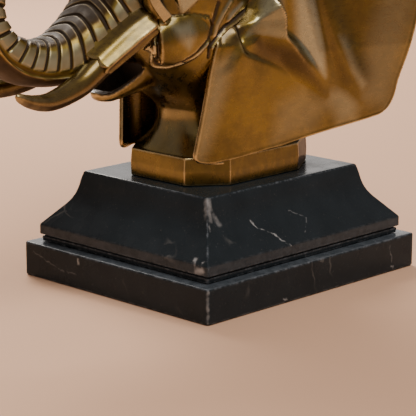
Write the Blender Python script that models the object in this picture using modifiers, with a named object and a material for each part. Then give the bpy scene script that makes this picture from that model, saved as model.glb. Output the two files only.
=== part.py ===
"""Bronze elephant bust on a moulded black marble plinth.

Metres, +Z up. The elephant faces -Y and is symmetric about X = 0. The origin is the centre of
the plinth's underside. The bust is one casting: foot, neck, head, jaw, cheeks, tusk sheaths,
tusks, trunk, eyes and ears are united into a single solid. The plinth is two marble pieces.
"""
import bmesh
import bpy
import numpy as np

MM = 0.001
MERGE = 0.00005

# Clearance kept between pieces that touch.
SEAT_GAP = 0.3 * MM

# Plinth slab, the plain lower piece.
SLAB_WIDTH = 150 * MM
SLAB_LENGTH = 175 * MM
SLAB_HEIGHT = 20 * MM
SLAB_EDGE = 1.6 * MM

# Plinth block, the moulded upper piece.
BLOCK_HEIGHT = 42 * MM
BLOCK_TOP_WIDTH = 100 * MM
LIP_INSET = 6.2 * MM
LIP_BASE = 4.4 * MM
LIP_HEIGHT = 10.2 * MM
LIP_UNDERCUT = 2.4 * MM
COVE_STEPS = 7
# Share of the inward run at shares of the height: a splay of 45 degrees, then a steep cove.
COVE_SHARES = ((0, 0.13, 0.42, 0.55, 0.68, 1.0), (0.0, 0.2, 0.66, 0.78, 0.86, 0.965))
TOP_EDGE = 1.8 * MM

# Foot of the bust, an eight-sided block.
FOOT_FRONT_HALF = 21.7 * MM
FOOT_SIDE_HALF = 37.9 * MM
FOOT_FRONT = 52.0 * MM
FOOT_FRONT_CORNER = 31.6 * MM
FOOT_REAR_CORNER = 25.6 * MM
FOOT_REAR = 50.6 * MM
FOOT_HEIGHT = 16 * MM
FOOT_LEAN = 0.45 * MM

# Fineness of the curved forms.
HEAD_SIDES = 22
TRUNK_SIDES = 12
TUSK_STEPS = 11
EAR_COLUMNS = 26
EAR_ROWS = 21

# Trunk ribs: places of the grooves as shares of the trunk's length, then as many even ones.
RIB_EDGES = (
    0, 0.038, 0.0755, 0.113, 0.151, 0.189, 0.227, 0.255, 0.299, 0.336, 0.374, 0.409, 0.443, 0.475, 0.508,
    0.545, 0.579,
)
EVEN_RIBS = 13
RIB_DEPTH = 1.1 * MM
RIB_GROOVE = 0.13
# How far a groove runs forward down the trunk's side, as shares of its half width and thickness.
RIB_SWEEP = (0.56, 0.12)

# Ear sheet, and the roll that carries its root into the head.
EAR_THICKNESS = 3.2 * MM
ROOT_ROLL_DEPTH = 11.0 * MM
ROOT_ROLL_SHARE = 0.075
ROOT_ROLL_FROM = 80 * MM
ROOT_ROLL_FULL = 98 * MM

PLINTH_TOP = SLAB_HEIGHT + BLOCK_HEIGHT
SEAT = PLINTH_TOP + SEAT_GAP

# Heights in the tables below are above the plinth's top, widths are from X = 0, all in mm.
# Throat, face and forehead: height, half width, front, back, roundness of the front.
HEAD_FORM = (
    (12, 37.0, -49.2, -3, 0.75), (17, 35.0, -48.2, -3, 0.75), (20.5, 30.5, -46.3, -3, 0.8),
    (24, 27.0, -44.8, -2, 0.85), (30, 22.5, -43.3, 0, 0.9), (36, 21.0, -42.5, 1, 0.9),
    (41, 22.0, -43.7, 2, 0.9), (45, 24.3, -47.2, 4, 0.87), (49, 27.0, -52.5, 6, 0.84),
    (56, 30.0, -61.0, 8, 0.8), (64, 33.5, -70.5, 10, 0.75), (72, 36.0, -79.0, 12, 0.7),
    (82, 37.5, -85.0, 14, 0.64), (94, 38.5, -88.0, 16, 0.6), (108, 39.5, -89.0, 18, 0.6),
    (124, 40.5, -88.0, 20, 0.62), (138, 40.5, -83.0, 24, 0.66), (152, 38.5, -75.0, 26, 0.7),
    (166, 34.5, -65.0, 24, 0.76), (178, 28.0, -53.0, 18, 0.8), (187, 18.5, -40.0, 8, 0.85),
    (191, 8.0, -27.0, -4, 0.9),
)
# Neck behind the face, plain at the rear, in the same order.
NECK_FORM = (
    (11, 36.0, -33.0, 48.5, 0.5), (18, 37.4, -33.0, 48.5, 0.5), (38, 39.5, -31.0, 50, 0.5),
    (62, 42.0, -27.0, 53, 0.5), (92, 43.0, -22.0, 55, 0.5), (122, 42.0, -20.0, 54, 0.5),
    (148, 37.0, -18.0, 47, 0.55), (168, 27.0, -14.0, 36, 0.65), (181, 13.0, -6.0, 22, 0.8),
)
# Ridge from the brow down to the tusk sheath: across, forward, height, half width.
BROW_RIDGE = (
    (30.0, 62, 150, 2.4), (31.0, 72, 141, 4.0), (28.5, 80, 129, 4.4), (27.5, 83, 116, 4.6),
    (28.0, 81, 105, 4.8), (29.5, 76, 96, 3.8), (30.5, 73, 90, 2.2),
)
# Lumps on the left side of the head: centre, radii, and turn about the upright axis.
CHEEK = ((33.0, -65, 85), (7.0, 19.0, 12.5), -8)
EYE = ((36.0, -67, 131), (5.0, 6.5, 4.6), 0)
# Lower jaw, an open scoop: distance in front of the origin, half width, rim height, underside.
JAW_FORM = (
    (50, 15.5, 80.0, 58.0), (60, 15.5, 77.0, 55.5), (70, 15.0, 72.0, 53.4), (80, 13.8, 64.8, 52.4),
    (88, 11.8, 60.0, 51.2), (93, 9.0, 57.0, 51.0), (97, 5.4, 55.8, 52.2), (99.6, 2.2, 57.0, 54.6),
)
JAW_WALL = 1.8 * MM
MOUTH_LIFT = 6 * MM
# Trunk in the plane of symmetry: forward distance, height, half width, half thickness.
TRUNK_FORM = (
    (50, 150, 22.0, 13.0), (64.4, 132.7, 25.0, 14.5), (75.6, 117.5, 25.0, 15.0), (85.4, 105.1, 23.6, 14.5),
    (96.5, 93.2, 21.5, 13.9), (110.7, 83.0, 18.5, 14.3), (125.6, 77.4, 16.0, 13.3), (141, 76.9, 14.5, 12.2),
    (155.2, 80.6, 13.6, 11.9), (167.4, 89.2, 13.0, 10.7), (174.4, 102.8, 12.4, 9.8), (174.5, 117, 11.8, 9.5),
    (169.1, 131.4, 11.0, 9.0), (161.8, 144.4, 10.2, 8.5), (156, 157, 9.4, 8.2), (156, 170, 8.6, 7.6),
    (161, 181, 7.9, 7.0), (169, 188, 7.2, 6.4),
)
# Tusk on the left side: across, forward, height, radius.
TUSK_FORM = (
    (20.5, 98, 85.5, 7.2), (19.0, 113.8, 73.9, 6.9), (19.5, 126.4, 66.5, 6.4), (21.0, 136.2, 63.6, 5.9),
    (23.0, 144.9, 62.1, 5.4), (25.0, 153.4, 61.5, 4.8), (27.0, 161.8, 62.5, 4.1), (29.0, 172.0, 65.3, 3.0),
    (30.4, 179.0, 68.6, 1.9),
)
# Tusk sheath on the left side: across, forward, height, scale of its section.
SHEATH_FORM = (
    (25.2, 79.5, 97.6, 0.7), (24.6, 82, 96.3, 0.95), (23.6, 87, 93.4, 1.06), (21.5, 96, 87.5, 1.08),
    (19.5, 107, 80.0, 1.0), (18.5, 114.5, 74.9, 0.94),
)
# Section of the sheath, which has flat facets: across and up from its axis.
SHEATH_SECTION = ((-6.5, 13.5), (6.0, 5.4), (10.8, -0.8), (8.6, -6.0), (-2.0, -8.6), (-9.4, 0.0))

# Root line and free edges of the left ear: backward distance, height.
EAR_FRONT_EDGE = (
    (-52.4, 15.6), (-50.6, 27), (-48.7, 40), (-46.8, 55), (-45.2, 68), (-43.2, 78), (-39.8, 86.3), (-27, 94),
    (-15.7, 104), (-10.7, 121), (-8.7, 141), (-6.6, 159.5), (-0.5, 177.6),
)
EAR_REAR_EDGE = (
    (67.9, 32.4), (72.4, 40), (75.3, 51.5), (79.8, 65), (83.7, 79), (87.5, 97), (91.7, 117), (95.3, 137),
    (94.7, 155.4), (89.2, 169.6),
)
EAR_TOP_EDGE = (
    (-0.5, 177.6), (19, 185.7), (41, 188.7), (61, 185.7), (77, 179.7), (89.2, 169.6),
)
EAR_LOWER_EDGE = (
    (-52.4, 15.6), (-45.4, 14.2), (-37.5, 14.9), (-27.7, 16.2), (-17.6, 17.5), (10.7, 21.3), (31, 25.3),
    (58, 30.2), (67.9, 32.4),
)
# Level section of the ear: how far each backward distance stands out from the front edge.
EAR_SECTION = ((-52, 0), (-42, 5.2), (-31, 9.4), (-10, 13.4), (9, 17.0), (40, 26.4), (71, 36), (90, 43))
EAR_LEAN = 0.05
EAR_FRONT_OUT = 31.2 * MM
EAR_LOW = 16 * MM
# Web that joins the ear's back to the neck: shares at each backward distance and height.
WEB_OUT = 31 * MM
WEB_BACK = ((-44, -33, 0, 20), (0, 1, 1, 0))
WEB_UP = ((12, 20, 150, 172), (0.6, 1, 1, 0.3))
# Columns and rows of the ear crowd where it folds.
EAR_COLUMN_SPREAD = ((0, 0.07, 0.72, 1), (0, 0.05, 0.58, 1))
EAR_ROW_SPREAD = ((0, 0.14, 0.72, 1), (0, 0.2, 0.62, 1))
EAR_LEAN_TOP = 72 * MM

# Folds of the ear: along each crest the backward distance, height, rise, and the spread in front
# of and behind the crest.
FOLDS = (
    ((-11.7, 121, 5.5, 8, 5), (-8.7, 103, 7.0, 8.5, 4.5), (-5, 95, 7.5, 8.5, 4.5), (-4, 83, 7.5, 8, 5),
     (2.5, 75, 7.0, 6, 6), (9, 67, 6.5, 6, 8), (22, 55.3, 4.0, 7, 9), (29, 37.8, 0.4, 8, 9)),
    ((5.5, 127, 4.0, 8, 10), (8.5, 103, 5.5, 8, 11), (15, 81, 5.0, 8, 11), (22.7, 59, 4.0, 8, 10),
     (29.5, 41.6, 0.8, 8, 10)),
    ((17, 127, 2.4, 8, 12), (24, 95, 3.6, 8, 11), (31, 75, 3.8, 8, 10), (46.5, 49.5, 3.0, 8, 10),
     (56.5, 33.8, 0.4, 9, 11)),
)
FOLD_STEPS = 40


def clear_scene():
    """Remove what an opened file already holds."""
    for obj in list(bpy.data.objects):
        bpy.data.objects.remove(obj, do_unlink=True)


def new_collection(name):
    """Add a collection under the scene's own."""
    collection = bpy.data.collections.new(name)
    bpy.context.scene.collection.children.link(collection)
    return collection


def material(name, colour, roughness, metallic):
    """A plain shader with the colour seen on the real surface."""
    mat = bpy.data.materials.new(name)
    mat.use_nodes = True
    shader = mat.node_tree.nodes["Principled BSDF"]
    shader.inputs["Base Color"].default_value = (*colour, 1)
    shader.inputs["Roughness"].default_value = roughness
    shader.inputs["Metallic"].default_value = metallic
    return mat


def add_object(name, mesh, collection):
    """Put a mesh into the scene as an object of its own."""
    obj = bpy.data.objects.new(name, mesh)
    collection.objects.link(obj)
    return obj


def mesh_from(bm, name):
    """Turn a bmesh with outward faces into a mesh."""
    bmesh.ops.recalc_face_normals(bm, faces=bm.faces)
    mesh = bpy.data.meshes.new(name)
    bm.to_mesh(mesh)
    bm.free()
    return mesh


def smooth_through(knots, steps):
    """Rows of a smooth curve through the knots, evenly spread by the length between knots."""
    rows = np.array(knots, dtype=float)
    along = np.r_[0, np.cumsum(np.linalg.norm(np.diff(rows[:, :3], axis=0), axis=1))]
    slope = np.gradient(rows, along, axis=0)
    wanted = np.asarray(steps) * along[-1]
    left = np.clip(np.searchsorted(along, wanted, side="right") - 1, 0, len(along) - 2)
    span = along[left + 1] - along[left]
    t = ((wanted - along[left]) / span)[..., None]
    span = span[..., None]
    rise = rows[left] * (2 * t**3 - 3 * t**2 + 1) + rows[left + 1] * (3 * t**2 - 2 * t**3)
    bend = slope[left] * (t**3 - 2 * t**2 + t) + slope[left + 1] * (t**3 - t**2)
    return rise + bend * span


def loft(name, rings, collection):
    """Close a stack of rings of equal size, with a flat face over each end."""
    bm = bmesh.new()
    loops = [[bm.verts.new(point) for point in ring] for ring in rings]
    for low, high in zip(loops, loops[1:]):
        for i in range(len(low)):
            j = (i + 1) % len(low)
            bm.faces.new((low[i], low[j], high[j], high[i]))
    bm.faces.new(loops[0][::-1])
    bm.faces.new(loops[-1])
    return add_object(name, mesh_from(bm, name), collection)


def rounded_power(values, power):
    """Raise the size of each value to a power and keep its sign."""
    return np.sign(values) * np.abs(values) ** power


def add_slab(collection, mat):
    """The slab is a box with eased upper edges and a flat underside."""
    bpy.ops.mesh.primitive_cube_add(size=1, location=(0, 0, SLAB_HEIGHT / 2))
    slab = bpy.context.active_object
    slab.name = "plinth_slab"
    slab.data.transform(((SLAB_WIDTH, 0, 0, 0), (0, SLAB_LENGTH, 0, 0), (0, 0, SLAB_HEIGHT, 0), (0, 0, 0, 1)))
    bevel = slab.modifiers.new("eased edges", "BEVEL")
    bevel.width = SLAB_EDGE
    bevel.segments = 2
    move_to(slab, collection)
    slab.data.materials.append(mat)


def move_to(obj, collection):
    """Take an object out of its collections and into one."""
    for old in list(obj.users_collection):
        old.objects.unlink(obj)
    collection.objects.link(obj)


def block_profile():
    """Heights and insets of the moulded block: undercut, lip, straight splay, cove, eased top."""
    top_inset = (SLAB_WIDTH - BLOCK_TOP_WIDTH) / 2
    low = SLAB_HEIGHT + SEAT_GAP
    lip_low = SLAB_HEIGHT + LIP_BASE
    lip_high = SLAB_HEIGHT + LIP_HEIGHT
    cove_height = PLINTH_TOP - TOP_EDGE - lip_high
    cove_inset = top_inset - LIP_INSET
    profile = [(low, LIP_INSET + LIP_UNDERCUT), (lip_low, LIP_INSET + LIP_UNDERCUT / 3)]
    profile += [(lip_low + SEAT_GAP * 2, LIP_INSET), (lip_high, LIP_INSET)]
    for i in range(1, COVE_STEPS + 1):
        rise = i / COVE_STEPS
        profile.append((lip_high + cove_height * rise, LIP_INSET + cove_inset * np.interp(rise, *COVE_SHARES)))
    profile.append((PLINTH_TOP - TOP_EDGE / 4, top_inset + TOP_EDGE * 0.6))
    profile.append((PLINTH_TOP, top_inset + TOP_EDGE * 2))
    return profile


def add_block(collection, mat):
    """Carry the moulding round the four sides."""
    rings = []
    for height, inset in block_profile():
        x = SLAB_WIDTH / 2 - inset
        y = SLAB_LENGTH / 2 - inset
        rings.append(((x, -y, height), (x, y, height), (-x, y, height), (-x, -y, height)))
    block = loft("plinth_block", rings, collection)
    block.data.materials.append(mat)


def add_foot(collection):
    """Eight-sided foot whose front corners lean in a little."""
    rings = []
    for share in (0, 1):
        lean = FOOT_LEAN * share
        half = (
            (FOOT_FRONT_HALF - lean * 2, -FOOT_FRONT), (FOOT_SIDE_HALF, -FOOT_FRONT_CORNER),
            (FOOT_SIDE_HALF, FOOT_REAR_CORNER), (FOOT_FRONT_HALF, FOOT_REAR),
        )
        ring = [(x, y, SEAT + FOOT_HEIGHT * share) for x, y in half]
        ring += [(-x, y, SEAT + FOOT_HEIGHT * share) for x, y in reversed(half)]
        rings.append(ring)
    return loft("foot", rings, collection)


def standing_form(name, form, collection):
    """Stack level sections: each is a rounded outline between its front and back."""
    turn = np.linspace(0, 2 * np.pi, HEAD_SIDES, endpoint=False)
    rings = []
    for height, half, front, back, roundness in form:
        power = np.where(np.cos(turn) > 0, roundness, 0.8)
        x = half * rounded_power(np.sin(turn), power)
        y = (front + back) / 2 - (back - front) / 2 * rounded_power(np.cos(turn), 0.9)
        z = np.full_like(x, height)
        rings.append(np.c_[x, y, z] * MM + (0, 0, PLINTH_TOP))
    return loft(name, rings, collection)


def jaw_rings(inset, lift):
    """Level-topped U sections of the lower jaw, shrunk by a wall and raised for its hollow."""
    turn = np.linspace(0, np.pi, 9)
    rings = []
    for forward, half, rim, under in JAW_FORM:
        wide = max(half * MM - inset, 0.6 * MM)
        top = rim * MM + lift
        deep = top - under * MM - inset
        x = wide * rounded_power(np.cos(turn), 0.75)
        z = PLINTH_TOP + top - deep * rounded_power(np.sin(turn), 0.8)
        y = np.full_like(x, -forward * MM + inset)
        rings.append(np.c_[x, y, z])
    return rings


def trunk_rings():
    """Rings across the trunk, three to a rib, swept forward at its sides; the belly has no grooves."""
    edges = np.r_[RIB_EDGES[:-1], np.linspace(RIB_EDGES[-1], 1, EVEN_RIBS + 1)]
    starts, lengths = edges[:-1, None], np.diff(edges)[:, None]
    steps = np.r_[(starts + lengths * (0, RIB_GROOVE, 1 - RIB_GROOVE)).ravel(), 1.0][:, None]
    knots = np.array([(0, -forward, height, half, thick) for forward, height, half, thick in TRUNK_FORM])
    length = np.sum(np.linalg.norm(np.diff(knots[:, :3], axis=0), axis=1))
    turn = np.linspace(0, 2 * np.pi, TRUNK_SIDES, endpoint=False) + np.pi / TRUNK_SIDES
    side = rounded_power(np.sin(turn), 0.75) * np.where(np.cos(turn) < -0.8, 0.62, 1)
    rise = rounded_power(np.cos(turn), 0.85)
    plain = smooth_through(knots, steps)
    sweep = RIB_SWEEP[0] * np.abs(side) * plain[..., 3] + RIB_SWEEP[1] * (1 - rise) * plain[..., 4]
    fade = np.interp(steps, (0, 0.12, 0.9, 1), (0, 1, 1, 0))
    rows = smooth_through(knots, np.clip(steps + sweep / length * fade, 0, 1))
    tangent = np.gradient(rows[..., :3], axis=0)
    tangent /= np.linalg.norm(tangent, axis=-1)[..., None]
    inner = np.cross(tangent, (1.0, 0, 0))
    groove = np.zeros((len(rows), 1))
    groove[::3] = RIB_DEPTH / MM
    groove = groove * (np.cos(turn) > -0.5)
    rings = rows[..., :3] + ((rows[..., 4] - groove) * rise)[..., None] * inner
    rings[..., 0] += (rows[..., 3] - groove) * side
    return rings * MM + (0, 0, PLINTH_TOP)


def path_frames(rows):
    """Tangent, sideways and upward directions along a path that runs forward."""
    tangent = np.gradient(rows[:, :3], axis=0)
    tangent /= np.linalg.norm(tangent, axis=1)[:, None]
    up = np.cross(np.cross(tangent, (0, 0, 1.0)), tangent)
    up /= np.linalg.norm(up, axis=1)[:, None]
    return tangent, np.cross(up, tangent), up


def sheath_rings():
    """Six-sided sections along the sheath, shrinking to a collar round the tusk."""
    knots = [(x, -forward, height, scale) for x, forward, height, scale in SHEATH_FORM]
    rows = smooth_through(knots, np.linspace(0, 1, 7))
    tangent, side, up = path_frames(rows)
    side *= np.sign(side[:, :1])
    rings = []
    for i, row in enumerate(rows):
        section = np.array(SHEATH_SECTION) * row[3]
        ring = row[:3] + section[:, :1] * side[i] + section[:, 1:] * up[i]
        rings.append(ring * MM + (0, 0, PLINTH_TOP))
    return rings


def brow_rings():
    """Small round sections along the ridge of the brow."""
    knots = [(x, -forward, height, half) for x, forward, height, half in BROW_RIDGE]
    rows = smooth_through(knots, np.linspace(0, 1, 9))
    turn = np.linspace(0, 2 * np.pi, 8, endpoint=False)
    rings = []
    for row in rows:
        x = row[0] + row[3] * np.cos(turn)
        y = row[1] + row[3] * np.sin(turn)
        rings.append(np.c_[x, y, np.full_like(x, row[2])] * MM + (0, 0, PLINTH_TOP))
    return rings


def add_tusk(collection):
    """A tapering round tusk along its own curve, made a mesh so that it can be united."""
    knots = [(x, -forward, height, radius) for x, forward, height, radius in TUSK_FORM]
    rows = smooth_through(knots, np.linspace(0, 1, TUSK_STEPS))
    curve = bpy.data.curves.new("tusk", "CURVE")
    curve.dimensions = "3D"
    curve.bevel_depth = MM
    curve.bevel_resolution = 3
    curve.use_fill_caps = True
    spline = curve.splines.new("POLY")
    spline.points.add(len(rows) - 1)
    for point, row in zip(spline.points, rows):
        point.co = (*(row[:3] * MM + (0, 0, PLINTH_TOP)), 1)
        point.radius = row[3]
    drawn = bpy.data.objects.new("tusk curve", curve)
    collection.objects.link(drawn)
    depsgraph = bpy.context.evaluated_depsgraph_get()
    mesh = bpy.data.meshes.new_from_object(drawn.evaluated_get(depsgraph))
    bpy.data.objects.remove(drawn, do_unlink=True)
    bm = bmesh.new()
    bm.from_mesh(mesh)
    bmesh.ops.remove_doubles(bm, verts=bm.verts, dist=MERGE)
    return add_object("tusk", mesh_from(bm, "tusk"), collection)


def add_ball(name, centre, radii, turn, collection):
    """A rounded lump of the casting, turned about the upright axis."""
    bpy.ops.mesh.primitive_uv_sphere_add(segments=12, ring_count=8, radius=1)
    ball = bpy.context.active_object
    ball.name = name
    ball.scale = [r * MM for r in radii]
    ball.rotation_euler = (0, 0, np.radians(turn))
    ball.location = np.array(centre) * MM + (0, 0, PLINTH_TOP)
    move_to(ball, collection)
    return ball


def fold_rise(back, up):
    """Height that the folds add: each falls away on both sides of the nearest point of its crest."""
    total = 0.0
    for knots in FOLDS:
        rows = smooth_through([(a, b, 0, c, d, e) for a, b, c, d, e in knots], np.linspace(0, 1, FOLD_STEPS))
        step = np.gradient(rows[:, :2], axis=0)
        offset = np.array((back, up)) / MM - rows[:, :2]
        near = np.argmin(np.hypot(offset[:, 0], offset[:, 1]))
        away = np.hypot(*offset[near])
        behind = step[near, 0] * offset[near, 1] - step[near, 1] * offset[near, 0] > 0
        spread = rows[near, 5] if behind else rows[near, 4]
        total = max(total, rows[near, 3] * np.exp(-((away / spread) ** 2)) * MM)
    return total


def ear_out(back, up, share):
    """How far out the ear's face stands: it leans out, flares backward, folds and rolls in."""
    lean = EAR_LEAN * (min(up, EAR_LEAN_TOP) - EAR_LOW)
    out = EAR_FRONT_OUT + lean + np.interp(back / MM, *zip(*EAR_SECTION)) * MM
    rolled = np.clip((up - ROOT_ROLL_FROM) / (ROOT_ROLL_FULL - ROOT_ROLL_FROM), 0, 1)
    roll = ROOT_ROLL_DEPTH * rolled * np.exp(-((share / ROOT_ROLL_SHARE) ** 2))
    return out + fold_rise(back, up) - roll


def add_ear(collection):
    """Spread a grid between the ear's four edges, push it out, then extrude it to its inner face."""
    across = np.interp(np.linspace(0, 1, EAR_COLUMNS + 1), *EAR_COLUMN_SPREAD)
    rising = np.interp(np.linspace(0, 1, EAR_ROWS + 1), *EAR_ROW_SPREAD)
    front, rear = (edge_points(edge, rising) for edge in (EAR_FRONT_EDGE, EAR_REAR_EDGE))
    low, top = (edge_points(edge, across) for edge in (EAR_LOWER_EDGE, EAR_TOP_EDGE))
    bm = bmesh.new()
    bmesh.ops.create_grid(bm, x_segments=EAR_COLUMNS, y_segments=EAR_ROWS, size=0.5)
    inner = {}
    for vert in bm.verts:
        i = round((vert.co.x + 0.5) * EAR_COLUMNS)
        j = round((vert.co.y + 0.5) * EAR_ROWS)
        s, t = across[i], rising[j]
        sides = front[j] * (1 - s) + rear[j] * s
        ends = low[i] * (1 - t) + top[i] * t
        corners = (1 - s) * ((1 - t) * low[0] + t * top[0]) + s * ((1 - t) * low[-1] + t * top[-1])
        back, up = sides + ends - corners
        vert.co = (ear_out(back, up, s), back, PLINTH_TOP + up)
        web = np.interp(back / MM, *WEB_BACK) * np.interp(up / MM, *WEB_UP)
        inner[tuple(vert.co)] = (vert.co.x - EAR_THICKNESS) * (1 - web) + WEB_OUT * web
    wall = bmesh.ops.extrude_face_region(bm, geom=bm.faces[:], use_keep_orig=True)
    for vert in wall["geom"]:
        if isinstance(vert, bmesh.types.BMVert):
            vert.co.x = inner[tuple(vert.co)]
    return add_object("ear", mesh_from(bm, "ear"), collection)


def edge_points(knots, steps):
    """Points along one edge of the ear in metres."""
    rows = smooth_through([(back, up, 0) for back, up in knots], steps)
    return rows[:, :2] * MM


def mirror_across(form):
    """Repeat a form of the left side on the right, about X = 0."""
    centre = bpy.data.objects.get("centre plane")
    if centre is None:
        centre = bpy.data.objects.new("centre plane", None)
        form.users_collection[0].objects.link(centre)
    mirror = form.modifiers.new("right side", "MIRROR")
    mirror.mirror_object = centre
    mirror.use_mirror_merge = False


def unite(base, tools):
    """Grow the base by each tool in turn."""
    for tool in tools:
        tool.hide_render = True
        tool.display_type = "WIRE"
        join = base.modifiers.new("join " + tool.name, "BOOLEAN")
        join.operation = "UNION"
        join.solver = "EXACT"
        join.object = tool


def add_bust(collection, cutters, mat):
    """Unite the forms of the casting, those of its sides mirrored, into one solid."""
    bust = standing_form("elephant_bust", HEAD_FORM, collection)
    neck = standing_form("neck", NECK_FORM, cutters)
    jaw = loft("jaw", jaw_rings(0, 0), cutters)
    hollow = loft("mouth hollow", jaw_rings(JAW_WALL, MOUTH_LIFT), cutters)
    hollow.hide_render = True
    hollow.display_type = "WIRE"
    scoop = jaw.modifiers.new("scoop", "BOOLEAN")
    scoop.operation = "DIFFERENCE"
    scoop.solver = "EXACT"
    scoop.object = hollow
    paired = [
        loft("sheath", sheath_rings(), cutters), add_tusk(cutters),
        add_ball("cheek", *CHEEK, cutters), add_ball("eye", *EYE, cutters),
        loft("brow ridge", brow_rings(), cutters), add_ear(cutters),
    ]
    for form in paired:
        mirror_across(form)
    unite(bust, [neck, add_foot(cutters), jaw, loft("trunk", trunk_rings(), cutters), *paired])
    bust.data.materials.append(mat)
    bust.data.shade_smooth()
    bust.data.set_sharp_from_angle(angle=np.radians(35))


def main():
    clear_scene()
    parts = new_collection("bronze elephant bust")
    cutters = new_collection("forms")
    marble = material("black marble", (0.012, 0.013, 0.014), 0.18, 0.0)
    bronze = material("patinated bronze", (0.27, 0.14, 0.03), 0.34, 1.0)
    add_slab(parts, marble)
    add_block(parts, marble)
    add_bust(parts, cutters, bronze)


main()
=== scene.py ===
"""Finish of a bronze elephant bust on a black marble plinth.

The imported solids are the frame. Each piece here keeps its solid's form and carries the surface that
the real one shows: the ribs of the trunk, the folds of the ears, patina, worn edges, polish and veins.
"""
import math

import bmesh
import bpy
import numpy as np
from bpy.props import FloatProperty, FloatVectorProperty, IntProperty, PointerProperty
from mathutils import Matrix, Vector


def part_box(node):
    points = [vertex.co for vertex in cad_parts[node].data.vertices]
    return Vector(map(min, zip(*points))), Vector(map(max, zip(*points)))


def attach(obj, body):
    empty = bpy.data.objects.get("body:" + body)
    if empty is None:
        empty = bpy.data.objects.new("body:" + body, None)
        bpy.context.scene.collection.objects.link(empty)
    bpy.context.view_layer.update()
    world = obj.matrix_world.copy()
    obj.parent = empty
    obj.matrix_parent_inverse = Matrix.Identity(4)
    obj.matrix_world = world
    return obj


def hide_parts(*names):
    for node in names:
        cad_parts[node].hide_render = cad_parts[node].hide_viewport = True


bl_info = {
    "name": "Bronze Elephant Bust",
    "version": (1, 0, 0),
    "blender": (4, 5, 0),
    "location": "View3D > Sidebar > Elephant Bust",
    "description": "Builds the finished surfaces of a bronze elephant bust and its marble plinth",
    "category": "Add Mesh",
}

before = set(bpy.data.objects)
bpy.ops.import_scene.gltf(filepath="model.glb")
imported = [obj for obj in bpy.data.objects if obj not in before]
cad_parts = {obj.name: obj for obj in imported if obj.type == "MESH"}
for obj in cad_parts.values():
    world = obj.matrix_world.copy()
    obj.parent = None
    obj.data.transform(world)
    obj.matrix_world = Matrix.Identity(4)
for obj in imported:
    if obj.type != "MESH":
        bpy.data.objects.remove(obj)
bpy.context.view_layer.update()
MM = 0.001
SLAB_LOW, SLAB_HIGH = (np.array(corner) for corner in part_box("plinth_slab"))
BLOCK_LOW, BLOCK_HIGH = (np.array(corner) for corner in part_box("plinth_block"))
PLINTH_TOP = BLOCK_HIGH[2]
SEAT = min(corner[2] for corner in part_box("elephant_bust"))

# Tables of form: heights are above the plinth's top, widths are from X = 0, all in mm.
# Throat, face and forehead: height, half width, front, back, roundness of the front.
HEAD_FORM = (
    (12, 37.0, -49.2, -3, 0.75), (17, 35.0, -48.2, -3, 0.75), (20.5, 30.5, -46.3, -3, 0.8),
    (24, 27.0, -44.8, -2, 0.85), (30, 22.5, -43.3, 0, 0.9), (36, 21.0, -42.5, 1, 0.9),
    (41, 22.0, -43.7, 2, 0.9), (45, 24.3, -47.2, 4, 0.87), (49, 27.0, -52.5, 6, 0.84),
    (56, 30.0, -61.0, 8, 0.8), (64, 33.5, -70.5, 10, 0.75), (72, 36.0, -79.0, 12, 0.7),
    (82, 37.5, -85.0, 14, 0.64), (94, 38.5, -88.0, 16, 0.6), (108, 39.5, -89.0, 18, 0.6),
    (124, 40.5, -88.0, 20, 0.62), (138, 40.5, -83.0, 24, 0.66), (152, 38.5, -75.0, 26, 0.7),
    (166, 34.5, -65.0, 24, 0.76), (178, 28.0, -53.0, 18, 0.8), (187, 18.5, -40.0, 8, 0.85),
    (191, 8.0, -27.0, -4, 0.9),
)
# Neck behind the face, in the same order.
NECK_FORM = (
    (11, 36.0, -33.0, 48.5, 0.5), (18, 37.4, -33.0, 48.5, 0.5), (38, 39.5, -31.0, 50, 0.5),
    (62, 42.0, -27.0, 53, 0.5), (92, 43.0, -22.0, 55, 0.5), (122, 42.0, -20.0, 54, 0.5),
    (148, 37.0, -18.0, 47, 0.55), (168, 27.0, -14.0, 36, 0.65), (181, 13.0, -6.0, 22, 0.8),
)
# Ridge from the brow down to the tusk sheath: across, forward, height, half width.
BROW_RIDGE = (
    (30.0, 62, 150, 2.4), (31.0, 72, 141, 4.0), (28.5, 80, 129, 4.4), (27.5, 83, 116, 4.6),
    (28.0, 81, 105, 4.8), (29.5, 76, 96, 3.8), (30.5, 73, 90, 2.2),
)
# Flat strap at the ridge's lower end, in the same order, and the way that its face looks.
BAND_FORM = (
    (29.0, 85.0, 121, 2.4), (30.6, 85.2, 114, 2.5), (31.8, 83.8, 108.3, 2.6), (33.4, 80.4, 102.3, 2.7),
    (34.6, 77.2, 98.1, 2.9),
)
BAND_FACE = (0.74, -0.66, 0.12)
# Outlines on the side of the face, mirrored on the other side: backward and outward run mixed as
# 0.82 and 0.57, then height.
CHEEK_OUTLINE = (
    (-48.3, 95), (-47.6, 84), (-47, 73), (-42, 72.7), (-34.7, 74.8), (-28.4, 78), (-20.4, 84.7),
    (-17.8, 92.2), (-18.7, 96.3), (-30, 99), (-42, 98),
)
MOUTH_CORNER = ((-55, 80.5), (-50.5, 85.5), (-48.9, 85), (-48.6, 75), (-50.2, 79.2))
TEMPLE_PANEL = ((-40, 112), (-34.5, 98.5), (-24, 108), (-24, 118), (-40, 118))
# Rim of the cheek's plate in mm: how far inside the outline its ridge and its groove run, their half
# width, and the heights up to which the ridge rises and both are painted, the ridge with a highlight
# and the groove with shade.
RIM_RIDGE, RIM_GROOVE, RIM_HALF = 3.2, 1.5, 0.8
RIM_TOP, RIM_PAINT_TOP = 84, 86
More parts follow.
